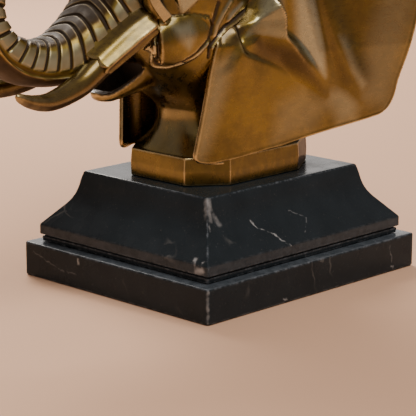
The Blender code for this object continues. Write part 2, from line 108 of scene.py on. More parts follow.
# Patches of the face with painted light, highlights on the cheek's top, the temple's panel, the
# mouth's corner and a pale facet, then a darker patch and a faint pale one low down: strength,
# softness of the border, outline.
FACE_LIGHT_AND_TONE_PATCHES = (
    (0.75, 3, ((-40, 93), (-30, 95), (-27, 88), (-31, 81), (-37, 87))),
    (0.8, 1.5, ((-40, 112), (-34.5, 99.5), (-24, 108), (-24, 118), (-40, 118))),
    (0.6, 1.5, MOUTH_CORNER),
    (-0.5, 4, ((-14, 82), (-8, 92), (2, 104), (8, 104), (0, 84), (-8, 74))),
    (0.7, 1.5, ((-6, 97), (2, 103), (9, 104), (0, 96), (-6, 92))),
    (0.15, 5, ((-38, 16), (-22, 16), (-22, 46), (-30, 54), (-38, 40))),
)
# Strands of hide behind the cheek, in the same places: rise, half width, then points along each. Their
# rise also paints the tone: raised strands pale as a highlight, sunk ones darker as painted shade.
STRANDS = (
    (-1.2, 0.9, ((9.3, 101.8), (5.2, 97.6), (-1.6, 93.6), (-8.3, 89.9), (-13.2, 85.1), (-17.6, 79.6))),
    (0.8, 0.8, ((11.5, 100), (5.4, 95.6), (-1, 91.6), (-7, 88.2), (-11.5, 84.5), (-16, 79))),
    (-1.0, 0.8, ((14.3, 98.7), (5.7, 93.7), (-0.2, 89.8), (-5.8, 86.6), (-9.4, 84.6), (-14, 79.6))),
    (-1.0, 0.8, ((-12.2, 104.2), (-14.2, 98.1), (-15.9, 93.7), (-16.6, 88.3), (-17.6, 81.4), (-18, 74))),
    (0.7, 1.3, ((-4.9, 103.4), (-9.4, 97.3), (-13.2, 91.1), (-14.5, 85.8))),
    (0.6, 1.6, ((3.0, 100.8), (-2.2, 97.0), (-6.1, 93.0))),
)
# Lower jaw: distance in front of the origin, half width, rim height, underside.
JAW_FORM = (
    (50, 15.5, 80.0, 58.0), (60, 15.5, 77.0, 55.5), (70, 15.0, 72.0, 53.4), (80, 13.8, 64.8, 52.4),
    (88, 11.8, 60.0, 51.2), (93, 9.0, 57.0, 51.0), (97, 5.4, 55.8, 52.2), (99.6, 2.2, 57.0, 54.6),
)
# Painted shade inside the mouth, a dull brown coat, in mm: its half width, then where it sets in and
# where it is full, in front of the origin at the back and at the tip of the jaw, and in height at its
# top and at its floor.
MOUTH_SHADE_HALF = 14.6
MOUTH_SHADE_BACK, MOUTH_SHADE_TIP = (56, 62), (98.6, 97.6)
MOUTH_SHADE_TOP, MOUTH_SHADE_FLOOR = (84, 80), (51, 53)
# Rounded lumps on the left side: centre, radii, turn about Z and tilt about X in degrees.
CHEEK_LUMP = ((32.2, -65, 86), (6.0, 20.0, 13.5), -8, 14)
EYE_LUMP = ((36.0, -67, 131), (5.0, 6.5, 4.6), 0, 0)
# Right half of the foot's outline: across and backward distance.
FOOT_HALF = ((0, -52.0), (21.7, -52.0), (37.9, -31.6), (37.9, 25.6), (21.7, 50.6), (0, 50.6))
# Trunk in the plane of symmetry: forward distance, height, half width, half thickness.
TRUNK_FORM = (
    (50, 150, 22.0, 13.0), (64.4, 132.7, 25.0, 14.5), (75.6, 117.5, 25.0, 15.0), (85.4, 105.1, 23.6, 14.5),
    (96.5, 93.2, 21.5, 13.9), (110.7, 83.0, 18.5, 14.3), (125.6, 77.4, 16.0, 13.3), (141, 76.9, 14.5, 12.2),
    (155.2, 80.6, 13.6, 11.9), (167.4, 89.2, 13.0, 10.7), (174.4, 102.8, 12.4, 9.8), (174.5, 117, 11.8, 9.5),
    (169.1, 131.4, 11.0, 9.0), (161.8, 144.4, 10.2, 8.5), (156, 157, 9.4, 8.2), (156, 170, 8.6, 7.6),
    (161, 181, 7.9, 7.0), (169, 188, 7.2, 6.4),
)
# Half of the trunk's section from its ribbed back round to its belly: across and up, as shares.
TRUNK_SECTION = (
    (0.0, 1.0), (0.4, 0.98), (0.72, 0.84), (0.91, 0.54), (0.985, 0.14), (0.99, -0.28),
    (0.94, -0.56), (0.87, -0.68), (0.62, -0.86), (0.3, -0.97), (0.0, -1.0),
)
# Grooves between its plates: places along the trunk, then as many even ones, where they end on the
# side, and how far they run forward there, as shares of its half width and thickness.
RIB_EDGES = (
    0, 0.038, 0.0755, 0.113, 0.151, 0.189, 0.227, 0.255, 0.299, 0.336, 0.374, 0.409, 0.443, 0.475, 0.508,
    0.545, 0.579,
)
EVEN_RIBS = 13
RIB_END = 0.56
RIB_SWEEP = (0.56, 0.12)
# Fineness of the trunk: rings for each plate, points of half a ring, and steps along its bend.
ROWS_PER_RIB = 14
HALF_TRUNK_SIDES = 61
TRUNK_STEPS = 600
# Ridge where the plates end: share round the half section, and its half width there.
TRUNK_RIDGE = (0.655, 0.016)
# Tusk on the left side: across, forward, height, radius.
TUSK_FORM = (
    (20.5, 98, 85.5, 7.2), (19.0, 113.8, 73.9, 6.9), (19.5, 126.4, 66.5, 6.4), (21.0, 136.2, 63.6, 5.9),
    (23.0, 144.9, 62.1, 5.4), (25.0, 153.4, 61.5, 4.8), (27.0, 161.8, 62.5, 4.1), (29.0, 172.0, 65.3, 3.0),
    (30.4, 179.0, 68.6, 1.9),
)
# Tusk sheath on the left side: across, forward, height, scale of its section.
SHEATH_FORM = (
    (25.2, 79.5, 97.6, 0.7), (24.6, 82, 96.3, 0.95), (23.6, 87, 93.4, 1.06), (21.5, 96, 87.5, 1.08),
    (19.5, 107, 80.0, 1.0), (18.5, 114.5, 74.9, 0.94),
)
# Its six corners in the section: across and up, as multiplied by that scale.
SHEATH_SECTION = ((-6.5, 13.5), (6.0, 5.4), (10.8, -0.8), (8.6, -6.0), (-2.0, -8.6), (-9.4, 0.0))
# Edges of the left ear: backward distance, height.
EAR_FRONT_EDGE = (
    (-52.4, 15.6), (-50.6, 27), (-48.7, 40), (-46.8, 55), (-45.2, 68), (-43.2, 78), (-39.8, 86.3), (-27, 94),
    (-15.7, 104), (-10.7, 121), (-8.7, 141), (-6.6, 159.5), (-0.5, 177.6),
)
EAR_REAR_EDGE = (
    (67.9, 32.4), (72.4, 40), (75.3, 51.5), (79.8, 65), (83.7, 79), (87.5, 97), (91.7, 117), (95.3, 137),
    (94.7, 155.4), (89.2, 169.6),
)
EAR_TOP_EDGE = (
    (-0.5, 177.6), (19, 185.7), (41, 188.7), (61, 185.7), (77, 179.7), (89.2, 169.6),
)
EAR_LOWER_EDGE = (
    (-52.4, 15.6), (-45.4, 14.2), (-37.5, 14.9), (-27.7, 16.2), (-17.6, 17.5), (10.7, 21.3), (31, 25.3),
    (58, 30.2), (67.9, 32.4),
)
# Level section of the ear: backward distance and how far it stands out from the front edge.
EAR_SECTION = (
    (-52, 0), (-42, 5.2), (-31, 9.4), (-10, 13.4), (9, 17.0), (40, 26.4), (71, 36), (90, 43),
)
# Its face starts this far out at the front edge, and leans out by a share of the height between two.
EAR_FRONT_OUT = 31.2
EAR_LEAN = 0.05
EAR_LOW, EAR_LEAN_TOP = 16, 72
# Roll of its root into the head: depth, share of the ear that it reaches, and heights that it grows between.
ROOT_ROLL = (11.0, 0.075, 80, 98)
# Web between the ear and the neck: how far out its inner face lies, and how full it is at backward
# distances and at heights.
WEB_OUT = 31
WEB_BACK = ((-44, -33, 0, 20), (0, 1, 1, 0))
WEB_UP = ((12, 20, 150, 172), (0.6, 1, 1, 0.3))
# Folds of the ear: along each crest the backward distance, height, rise, and how far the rise
# spreads in front of the crest as a slope and behind it as a curve.
EAR_FOLDS = (
    ((-11.7, 121, 5.5, 13, 2.6), (-8.7, 103, 7.0, 14, 2.2), (-5, 95, 7.5, 14, 2.2), (-4, 83, 7.5, 13, 2.8),
     (2.5, 75, 7.0, 9, 6), (9, 67, 6.5, 9, 9), (22, 55.3, 4.0, 10, 10), (29, 37.8, 0.4, 12, 10)),
    ((5.5, 127, 4.0, 11, 11), (8.5, 103, 5.5, 12, 12), (15, 81, 5.0, 12, 12), (22.7, 59, 4.0, 12, 11),
     (29.5, 41.6, 0.8, 12, 12)),
    ((17, 127, 2.4, 10, 13), (24, 95, 3.6, 11, 12), (31, 75, 3.8, 11, 11), (46.5, 49.5, 3.0, 11, 11),
     (56.5, 33.8, 0.4, 12, 12)),
    ((-28, 79, 1.8, 5, 7), (-34, 67, 1.4, 6, 9), (-43.3, 57.4, 0.2, 6, 9)),
)
# Creases, in the same order, with the depth in place of the rise.
EAR_CREASES = (
    ((-24, 100, 1.6, 2.4, 5.0), (-27.6, 92, 3.0, 2.0, 5.0), (-27.8, 84, 3.4, 1.8, 5.0),
     (-27, 78, 2.4, 1.8, 4.0), (-18, 72.5, 0.9, 1.6, 3.0), (-9, 68.6, 0.5, 1.6, 3.0), (4, 62, 0.2, 2.0, 3.0)),
)
# Corners of the ear that are rounded: share along the lower edge, share up the front edge, radius.
EAR_ROUNDS = ((0, 0, 3.5), (1, 0, 5.0), (0, 1, 6.0), (1, 1, 7.0))
# Its width and height in mm, by which those shares count.
EAR_SIZE = (128, 155)
# Patches of the ear toned pale, partly rubbed patina and partly painted highlights on panels that catch
# the light, or below 0 toned brown, partly untouched patina and partly painted shade under the folds:
# strength, softness of the border, then the outline as backward distance and height.
EAR_LIGHT_AND_TONE_PATCHES = (
    (0.45, 6, ((-42, 72), (-36, 74), (-38, 57), (-42, 41), (-46, 25), (-49, 17), (-52, 18),
               (-51, 34), (-48, 54), (-46, 70))),
    (0.5, 1.5, ((-25, 93), (-19, 102), (-17, 100), (-17, 88), (-15, 84), (-25, 84))),
    (0.5, 2, ((-16, 112), (-2, 112), (-1, 95), (0, 81), (-7, 82), (-15, 84), (-17, 90))),
    (0.95, 3, ((3, 112), (14, 108), (19, 93), (23, 77), (25, 57), (14, 67), (8, 75))),
    (0.55, 3.5, ((32, 80), (37, 78), (46, 60), (52, 51), (50, 49), (41, 58))),
    (0.45, 6, ((29, 47), (43, 50), (49, 41), (48, 30), (38, 29))),
    (0.3, 9, ((52, 42), (68, 36), (76, 60), (86, 100), (92, 140), (70, 140), (62, 100), (52, 66))),
    (0.25, 8, ((-5, 22), (20, 26), (30, 40), (14, 52), (-2, 44))),
    (-0.8, 2, ((-46, 80), (-32, 80), (-25, 86), (-16, 97), (-12, 106), (-14, 116), (-26, 114), (-36, 100),
               (-46, 92))),
    (-0.75, 4, ((-21, 84), (-8, 79), (2, 76), (9, 71), (19, 58), (28, 46), (12, 58), (-8, 68), (-20, 72))),
    (-0.5, 5, ((19, 112), (24, 93), (30, 77), (40, 58), (50, 40), (42, 46), (31, 62), (23, 80))),
)
# Rubbed or scratched lines in the marble: start, end, half width in mm, and how pale.
MARBLE_MARKS = (
    ((54.8, -34.4, 45.6), (58.6, -31.8, 40.7), 0.5, 0.9),
    ((58.6, -31.8, 40.7), (60.3, -26.4, 38.8), 0.45, 0.8),
    ((60.3, -26.4, 38.8), (63.0, -21.8, 36.2), 0.5, 0.9),
    ((63.0, -21.8, 36.2), (66.3, -18.8, 32.8), 0.5, 0.9),
    ((66.3, -18.8, 32.8), (68.8, -14.9, 29.6), 0.4, 0.7),
    ((54.3, -4.1, 46.6), (59.2, 8.4, 40.0), 0.25, 0.35),
    ((59.2, 8.4, 40.0), (65.0, 1.1, 34.1), 0.25, 0.3),
    ((57.4, -79.0, 31.8), (59.8, -80.8, 26.4), 1.8, 1.0),
    ((59.8, -80.8, 26.4), (64.6, -81.0, 27.6), 2.2, 1.0),
    ((64.6, -81.0, 27.6), (64.2, -79.6, 31.4), 1.1, 0.8),
    ((50.3, -62.3, 60.5), (51.9, -63.4, 50.2), 2.6, 0.6),
    ((51.6, -60.5, 52.0), (54.0, -57.5, 46.5), 2.0, 0.4),
    ((51.9, -63.4, 50.2), (57.8, -69.0, 40.0), 0.9, 0.5),
    ((75.0, -87.5, 0), (75.0, -87.5, 19.0), 1.3, 0.5),
    ((-67.7, -87.5, 14.6), (-44.1, -87.5, 8.6), 0.3, 0.25),
    ((-44.1, -87.5, 8.6), (-30.3, -87.5, 8.0), 0.25, 0.2),
    ((-28.4, -87.5, 17.4), (-27.8, -87.5, 15.2), 0.9, 0.8),
    ((75.0, -27.3, 2.8), (75.0, -25.0, 2.2), 0.5, 0.7),
    ((75.0, 65.3, 15.8), (75.0, 68.6, 1.8), 0.25, 0.3),
    ((75.0, 66.4, 3.6), (75.0, 68.8, 2.6), 0.5, 0.7),
)
# How far a noise frays those lines, in metres, and the soft border added to their half width, in mm.
MARK_FRAY = 0.003
MARK_BLUR = 0.35
# Dents of the stone draw points toward the origin, by their depth at this distance from it, in metres.
DENT_AT = 0.07
# Below tone -1 a dull dark film of painted shade covers the bronze: how much rougher it is. That film,
# or the dull coat of painted shade inside the mouth, hides this share of the metal.
SHADE_FILM_ROUGHNESS = 0.35
COVERED_METAL = 0.9
# The head's mesh is thinned to this many triangles, to stay under the limit of a piece.
TRIANGLE_LIMIT = 190000
# Square lights: name, place in metres, edge length, power in watts, colour; and where they point.
LIGHTS = (
    ("key", (-1.1, 0.45, 1.0), 0.7, 23, (1.0, 0.93, 0.86)),
    ("wall", (-1.3, 1.2, 0.6), 1.1, 6, (1.0, 0.96, 0.92)),
    ("top", (0.62, -0.25, 1.15), 0.6, 9, (1.0, 0.97, 0.93)),
)
LIGHT_TARGET = (0, -0.03, 0.12)
SKY_COLOUR = (1.0, 0.84, 0.76, 1)
SKY_STRENGTH = 0.3
# Cells of the ear's faces along and up it.
EAR_COLUMNS, EAR_ROWS = 190, 170


def smooth_through(knots, steps):
    """Cubic curve through knots, whose slopes are differences over the length between neighbours."""
    rows = np.array(knots, dtype=float)
    along = np.r_[0, np.cumsum(np.linalg.norm(np.diff(rows[:, :3], axis=0), axis=1))]
    slope = np.gradient(rows, along, axis=0)
    wanted = np.clip(np.asarray(steps), 0, 1) * along[-1]
    left = np.clip(np.searchsorted(along, wanted, side="right") - 1, 0, len(along) - 2)
    span = along[left + 1] - along[left]
    t = ((wanted - along[left]) / span)[..., None]
    span = span[..., None]
    rise = rows[left] * (2 * t**3 - 3 * t**2 + 1) + rows[left + 1] * (3 * t**2 - 2 * t**3)
    bend = slope[left] * (t**3 - 2 * t**2 + t) + slope[left + 1] * (t**3 - t**2)
    return rise + bend * span


def rounded_power(values, power):
    """Size of each value raised to a power, with its sign kept."""
    return np.sign(values) * np.abs(values) ** power


def ease(value, low, high):
    """Share that runs from 0 at low to 1 at high as 3 t squared minus 2 t cubed."""
    t = np.clip((value - low) / (high - low), 0, 1)
    return t * t * (3 - 2 * t)


def lattice_noise(points, size, seed):
    """Random values at the corners of cubes of a size, blended inside each cube by eased shares."""
    table = np.random.default_rng(seed).random((32, 32, 32))
    scaled = np.asarray(points) / size
    base = np.floor(scaled).astype(int)
    share = scaled - base
    share = share * share * (3 - 2 * share)
    total = 0.0
    for corner in np.ndindex(2, 2, 2):
        weight = np.prod(np.where(corner, share, 1 - share), axis=-1)
        index = (base + corner) % 32
        total = total + weight * table[index[..., 0], index[..., 1], index[..., 2]]
    return total * 2 - 1


def bell(distance, half):
    """1 at distance 0, falling as e to minus the square of distance over half width."""
    return np.exp(-((distance / half) ** 2))


def unit_rows(vectors):
    """The same directions, each of length 1."""
    return vectors / np.linalg.norm(vectors, axis=1)[:, None]


def placed(points):
    """Places in mm above the plinth's top as positions in the frame."""
    return points * MM + (0, 0, PLINTH_TOP)


def closed_tube(rings):
    """Vertices and faces of rings joined in order, with a fan to the middle of each end ring."""
    rows, sides = rings.shape[:2]
    index = np.arange(rows * sides).reshape(rows, sides)
    after = np.roll(index, -1, axis=1)
    quads = np.stack((index[:-1], after[:-1], after[1:], index[1:]), axis=-1).reshape(-1, 4)
    points = np.concatenate((rings.reshape(-1, 3), rings[:1].mean(axis=1), rings[-1:].mean(axis=1)))
    low, high = rows * sides, rows * sides + 1
    fans = [np.stack((np.full(sides, low), after[0], index[0]), axis=-1),
            np.stack((np.full(sides, high), index[-1], after[-1]), axis=-1)]
    return points, quads.tolist() + np.concatenate(fans).tolist()


def mirrored(points):
    """The same points on the other side of X = 0."""
    return points * np.array((-1.0, 1.0, 1.0))


def add_mesh(name, points, faces):
    """New mesh object at the origin, merged where points meet, with its faces turned outward."""
    mesh = bpy.data.meshes.new(name)
    mesh.from_pydata(np.asarray(points).tolist(), [], faces)
    bm = bmesh.new()
    bm.from_mesh(mesh)
    bmesh.ops.remove_doubles(bm, verts=bm.verts, dist=0.02 * MM)
    bmesh.ops.recalc_face_normals(bm, faces=bm.faces)
    bm.to_mesh(mesh)
    bm.free()
    obj = bpy.data.objects.new(name, mesh)
    bpy.context.scene.collection.objects.link(obj)
    return obj


def apply_modifiers(obj, context):
    """Replace a piece's mesh by what its modifiers make of it, and drop them."""
    mesh = bpy.data.meshes.new_from_object(obj.evaluated_get(context.evaluated_depsgraph_get()))
    obj.modifiers.clear()
    obj.data = mesh
    return mesh


def vertex_arrays(mesh):
    """Positions and normals of a mesh's vertices as arrays."""
    count = len(mesh.vertices)
    positions = np.empty(count * 3)
    normals = np.empty(count * 3)
    mesh.vertices.foreach_get("co", positions)
    mesh.vertex_normals.foreach_get("vector", normals)
    return positions.reshape(-1, 3), normals.reshape(-1, 3)


def set_positions(mesh, positions):
    """Write vertex positions back."""
    mesh.vertices.foreach_set("co", np.ascontiguousarray(positions, dtype=np.float32).ravel())
    mesh.update()


def edge_array(mesh):
    """Pairs of vertex numbers, one for each edge."""
    pairs = np.empty(len(mesh.edges) * 2, dtype=np.int64)
    mesh.edges.foreach_get("vertices", pairs)
    return pairs.reshape(-1, 2)


def neighbour_mean(values, pairs, count):
    """Mean of each vertex's neighbours."""
    total = np.zeros((count,) + values.shape[1:])
    np.add.at(total, pairs[:, 0], values[pairs[:, 1]])
    np.add.at(total, pairs[:, 1], values[pairs[:, 0]])
    weight = np.bincount(pairs.ravel(), minlength=count).astype(float)
    return total / np.maximum(weight, 1).reshape((-1,) + (1,) * (values.ndim - 1))


def relax(mesh, rounds):
    """Move each vertex half way to its neighbours' mean, then most of the way back, in rounds."""
    positions, _ = vertex_arrays(mesh)
    pairs = edge_array(mesh)
    for _ in range(rounds):
        for share in (0.5, -0.51):
            positions = positions + share * (neighbour_mean(positions, pairs, len(positions)) - positions)
    set_positions(mesh, positions)


def paint_curvature(obj, scale, rounds):
    """Store how sharply the surface bulges: slope of the normals along each edge, then averaged."""
    mesh = obj.data
    positions, normals = vertex_arrays(mesh)
    pairs = edge_array(mesh)
    step = positions[pairs[:, 1]] - positions[pairs[:, 0]]
    turn = normals[pairs[:, 1]] - normals[pairs[:, 0]]
    bulge = np.sum(step * turn, axis=1) / np.maximum(np.sum(step * step, axis=1), 1e-12)
    count = len(positions)
    total = np.bincount(pairs[:, 0], bulge, count) + np.bincount(pairs[:, 1], bulge, count)
    value = total / np.maximum(np.bincount(pairs.ravel(), minlength=count), 1)
    for _ in range(rounds):
        value = 0.5 * value + 0.5 * neighbour_mean(value, pairs, count)
    paint(obj, "bulge", np.clip(value * scale, -1, 1))


def paint(obj, name, value):
    """Store a value at each vertex for the shaders: bulge, tone with its painted light, or dust with its
    painted shade.

    Tone is how pale the patina is, up to 1, on rubbed patches and as painted highlights, how brown it
    is, down to -1, on brown patches and as painted shade, or how dull, to -2, as a dark film of painted
    shade. Dust is how much dust covers the stone, or how much painted shade, a dull brown coat, covers the
    metal inside the mouth, from 0 to 1.
    """
    stored = obj.data.attributes.new(name, "FLOAT", "POINT")
    stored.data.foreach_set("value", value.astype(np.float32))


def patch_tone(places, patches):
    """Sum over patches of the strength, eased over the border of the outline."""
    value = np.zeros(len(places))
    for strength, soft, outline in patches:
        value = value + strength * ease(outline_distance(places, outline), -soft, soft)
    return value


def ear_tone_and_light(positions, normals):
    """Tone of the ear: its patches of rubbed patina with painted highlights and of brown patina with
    painted shade on the outer face, plain brown on the inner one.
    """
    places = np.stack((positions[:, 1], positions[:, 2] - PLINTH_TOP), axis=-1) / MM
    facing = ease(normals[:, 0] * np.sign(positions[:, 0]), 0.0, 0.3)
    return np.clip(patch_tone(places, EAR_LIGHT_AND_TONE_PATCHES), -2, 1) * facing - 0.6 * (1 - facing)


def face_tone_and_light(places):
    """Tone of the head, mostly painted light: its patches, a highlight on the cheek's rim ridge with shade
    in its groove, and the strands, pale where raised and shaded where sunk, added up.
    """
    value = patch_tone(places, FACE_LIGHT_AND_TONE_PATCHES)
    plate = outline_distance(places, CHEEK_OUTLINE)
    # Painted highlight on the rim's ridge and painted shade in its groove.
    rim = bell(plate + RIM_RIDGE, RIM_HALF) - 1.5 * bell(plate + RIM_GROOVE, RIM_HALF)
    value = value + (places[:, 1] < RIM_PAINT_TOP) * rim
    # Painted light of the strands: raised ones pale, sunk ones darker still as shade.
    hills = strand_hills(places)
    return np.clip(value + np.where(hills < 0, 1.6 * hills, hills).sum(axis=0), -2, 1)


def mouth_shade(positions, normals):
    """Painted shade inside the mouth, a dull brown coat: on faces between its walls that look up or inward.
    """
    forward, up = -positions[:, 1] / MM, (positions[:, 2] - PLINTH_TOP) / MM
    inward = np.maximum(normals[:, 2], -normals[:, 0] * np.sign(positions[:, 0]))
    mouth = (np.abs(positions[:, 0]) < MOUTH_SHADE_HALF * MM) * ease(forward, *MOUTH_SHADE_BACK)
    mouth = mouth * ease(up, *MOUTH_SHADE_TOP) * ease(up, *MOUTH_SHADE_FLOOR)
    return mouth * ease(inward, 0.0, 0.3) * ease(forward, *MOUTH_SHADE_TIP)


def finish_piece(obj, node, material, angle=40):
    """Give a piece its material, keep edges sharp above an angle in degrees, tie it to the frame."""
    obj.data.materials.clear()
    obj.data.materials.append(bpy.data.materials[material])
    obj.data.shade_smooth()
    obj.data.set_sharp_from_angle(angle=math.radians(angle))
    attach(obj, "root")
    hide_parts(node)


def add_bronze(name, points, faces, material, curvature, tone_and_painted_light, angle=40):
    """New piece of the casting; curvature is its scale and rounds, the tone with its painted light works on
    positions and normals.
    """
    piece = add_mesh(name, points, faces)
    paint_curvature(piece, *curvature)
    paint(piece, "tone_and_painted_light", tone_and_painted_light(*vertex_arrays(piece.data)))
    finish_piece(piece, "elephant_bust", material, angle)


def both_sides(form):
    """A form of the left side and its mirror image, each with the name of its side."""
    return ("left", form), ("right", mirrored(form))


def new_group(name, inputs, outputs):
    """Empty shader node group with the named sockets."""
    group = bpy.data.node_groups.new(name, "ShaderNodeTree")
    for label, kind, value in inputs:
        socket = group.interface.new_socket(label, in_out="INPUT", socket_type=kind)
        socket.default_value = value
    for label, kind in outputs:
        group.interface.new_socket(label, in_out="OUTPUT", socket_type=kind)
    return group, group.nodes.new("NodeGroupInput"), group.nodes.new("NodeGroupOutput")


def feed(tree, socket, value):
    """Link a socket, or set its value."""
    if isinstance(value, bpy.types.NodeSocket):
        tree.links.new(value, socket)
    else:
        socket.default_value = value


def node_with(tree, kind, inputs=(), **settings):
    """Add a node, set its properties, and feed its inputs by label with sockets or values."""
    node = tree.nodes.new(kind)
    for key, value in settings.items():
        setattr(node, key, value)
    for label, value in dict(inputs).items():
        feed(tree, node.inputs[label], value)
    return node


def math_node(tree, operation, first, second, clamp=False):
    """Math node fed by sockets or numbers; returns its output."""
    node = node_with(tree, "ShaderNodeMath", operation=operation, use_clamp=clamp)
    for socket, value in zip(node.inputs, (first, second)):
        feed(tree, socket, value)
    return node.outputs[0]


def product(tree, first, second, clamp=False):
    """Output of a node that multiplies."""
    return math_node(tree, "MULTIPLY", first, second, clamp)


def total(tree, first, second):
    """Output of a node that adds."""
    return math_node(tree, "ADD", first, second)


def mix_colour(tree, share, low, high):
    """Colour mix fed by sockets, or by colours of three parts; returns its colour output."""
    node = node_with(tree, "ShaderNodeMix", {"Factor": share}, data_type="RGBA")
    for socket, value in ((node.inputs[6], low), (node.inputs[7], high)):
        feed(tree, socket, value if isinstance(value, bpy.types.NodeSocket) else (*value, 1))
    return node.outputs[2]


def painted(tree, name):
    """Value that a mesh stores at its vertices."""
    return node_with(tree, "ShaderNodeAttribute", attribute_name=name).outputs["Fac"]


def noise_at(tree, vector, scale, detail, roughness=0.5, output="Fac"):
    """Noise texture at a position: its value, or with the output Color three values."""
    inputs = {"Vector": vector, "Scale": scale, "Detail": detail, "Roughness": roughness}
    return node_with(tree, "ShaderNodeTexNoise", inputs).outputs[output]


def spread(tree, value, low, high, out_low=0.0, out_high=1.0):
    """Map a value's range onto another, smoothly."""
    inputs = {"Value": value, "From Min": low, "From Max": high, "To Min": out_low, "To Max": out_high}
    return node_with(tree, "ShaderNodeMapRange", inputs, interpolation_type="SMOOTHSTEP").outputs["Result"]


def stretched(tree, vector, scale):
    """Vector scaled by axis, so that a texture runs in streaks."""
    return node_with(tree, "ShaderNodeMapping", {"Vector": vector, "Scale": scale}).outputs["Vector"]


def frayed(tree, vector, scale, detail, reach):
    """Vector pushed by up to a reach along each axis, by a noise."""
    node = node_with(tree, "ShaderNodeVectorMath", operation="MULTIPLY_ADD")
    push = noise_at(tree, vector, scale, detail, output="Color")
    for socket, value in zip(node.inputs, (push, (reach, reach, reach), vector)):
        feed(tree, socket, value)
    return node.outputs[0]


def new_material(name):
    """Tree and shader of a new material, and the piece's own positions."""
    material = bpy.data.materials.new(name)
    material.use_nodes = True
    tree = material.node_tree
    place = node_with(tree, "ShaderNodeTexCoord").outputs["Object"]
    return tree, tree.nodes["Principled BSDF"], place


def add_bump(tree, shader, height, strength, distance):
    """Roughen the shader's normal by a height."""
    inputs = {"Strength": strength, "Distance": distance, "Height": height}
    bump = node_with(tree, "ShaderNodeBump", inputs)
    tree.links.new(bump.outputs["Normal"], shader.inputs["Normal"])


def patina_group():
    """Patina mask: noise of two sizes lightens and darkens, bulges wear and hollows stay dark."""
    group, start, end = new_group(
        "bronze patina",
        (("Position", "NodeSocketVector", (0, 0, 0)), ("Bulge", "NodeSocketFloat", 0.0),
         ("Wear", "NodeSocketFloat", 0.5), ("Dirt", "NodeSocketFloat", 0.5)),
        (("Cloud", "NodeSocketFloat"), ("Worn", "NodeSocketFloat"), ("Hollow", "NodeSocketFloat")),
    )
    place = start.outputs["Position"]
    broad = noise_at(group, place, 22.0, 3.0)
    fine = noise_at(group, place, 160.0, 4.0, 0.6)
    cloud = total(group, product(group, broad, 0.7), product(group, fine, 0.3))
    ragged = product(group, math_node(group, "SUBTRACT", fine, 0.5), 0.5)
    bulge = total(group, start.outputs["Bulge"], ragged)
    worn = product(group, spread(group, bulge, 0.16, 0.8), start.outputs["Wear"])
    sunk = total(group, product(group, start.outputs["Bulge"], -1.0), ragged)
    hollow = product(group, spread(group, sunk, 0.08, 0.7), start.outputs["Dirt"])
    group.links.new(spread(group, cloud, 0.36, 0.64), end.inputs["Cloud"])
    group.links.new(worn, end.inputs["Worn"])
    group.links.new(hollow, end.inputs["Hollow"])


def bronze_material(name, settings, wear, dirt, streak, relief, dull=0.0):
    """Lacquered brown bronze: metal under a clear coat, golden where rubbed, umber in the hollows.

    Tone above 0 turns it pale, on rubbed patches and as painted highlights; below 0 it browns it, on brown
    patches and as painted shade; and below -1 it lays a dull dark film of painted shade. Inside the mouth
    a dull coat of painted shade lies over all.
    """
    tree, shader, place = new_material(name)
    tone_and_painted_light, dust_and_shade = painted(tree, "tone_and_painted_light"), painted(tree, "dust_and_shade")
    inputs = {"Position": place, "Bulge": painted(tree, "bulge"), "Wear": wear, "Dirt": dirt}
    patina = node_with(tree, "ShaderNodeGroup", inputs, node_tree=bpy.data.node_groups["bronze patina"])
    # Painted shade: a dull dark film where the tone is below -1.
    shade_film = math_node(tree, "SUBTRACT", product(tree, tone_and_painted_light, -1.0), 1.0, True)
    dark = [part * 0.72 for part in settings.patina_colour]
    light = [min(1, part * 1.28) for part in settings.patina_colour]
    colour = mix_colour(tree, patina.outputs["Cloud"], dark, light)
    for share, layer in (
        (product(tree, tone_and_painted_light, 1.0, True), settings.rubbed_and_highlight_colour),
        (product(tree, tone_and_painted_light, -1.0, True), settings.brown_and_shade_colour),
        (shade_film, settings.recess_and_shade_colour),
        (patina.outputs["Worn"], settings.worn_colour),
        (patina.outputs["Hollow"], settings.recess_and_shade_colour),
        (dust_and_shade, settings.mouth_shade_colour),
    ):
        colour = mix_colour(tree, share, colour, layer)
    tree.links.new(colour, shader.inputs["Base Color"])
    brushed = noise_at(tree, stretched(tree, place, streak), 1.0, 5.0, 0.62)
    sheen = settings.roughness + dull
    rough = spread(tree, brushed, 0.3, 0.7, sheen - 0.07, sheen + 0.09)
    rough = total(tree, rough, product(tree, patina.outputs["Hollow"], 0.2))
    rough = total(tree, rough, product(tree, shade_film, SHADE_FILM_ROUGHNESS))
    tree.links.new(rough, shader.inputs["Roughness"])
    shade_cover = math_node(tree, "MAXIMUM", dust_and_shade, shade_film)
    metal = math_node(tree, "SUBTRACT", 1.0, product(tree, shade_cover, COVERED_METAL))
    tree.links.new(metal, shader.inputs["Metallic"])
    bare = math_node(tree, "SUBTRACT", 1.0, shade_cover, True)
    tree.links.new(product(tree, bare, 0.6 - 2.5 * dull), shader.inputs["Coat Weight"])
    shader.inputs["Coat Roughness"].default_value = 0.2 + dull
    shader.inputs["Coat IOR"].default_value = 1.6
    pitted = noise_at(tree, place, 900.0, 3.0, 0.7)
    height = total(tree, product(tree, brushed, 0.6), product(tree, pitted, 0.4))
    add_bump(tree, shader, height, relief, 0.25 * MM)


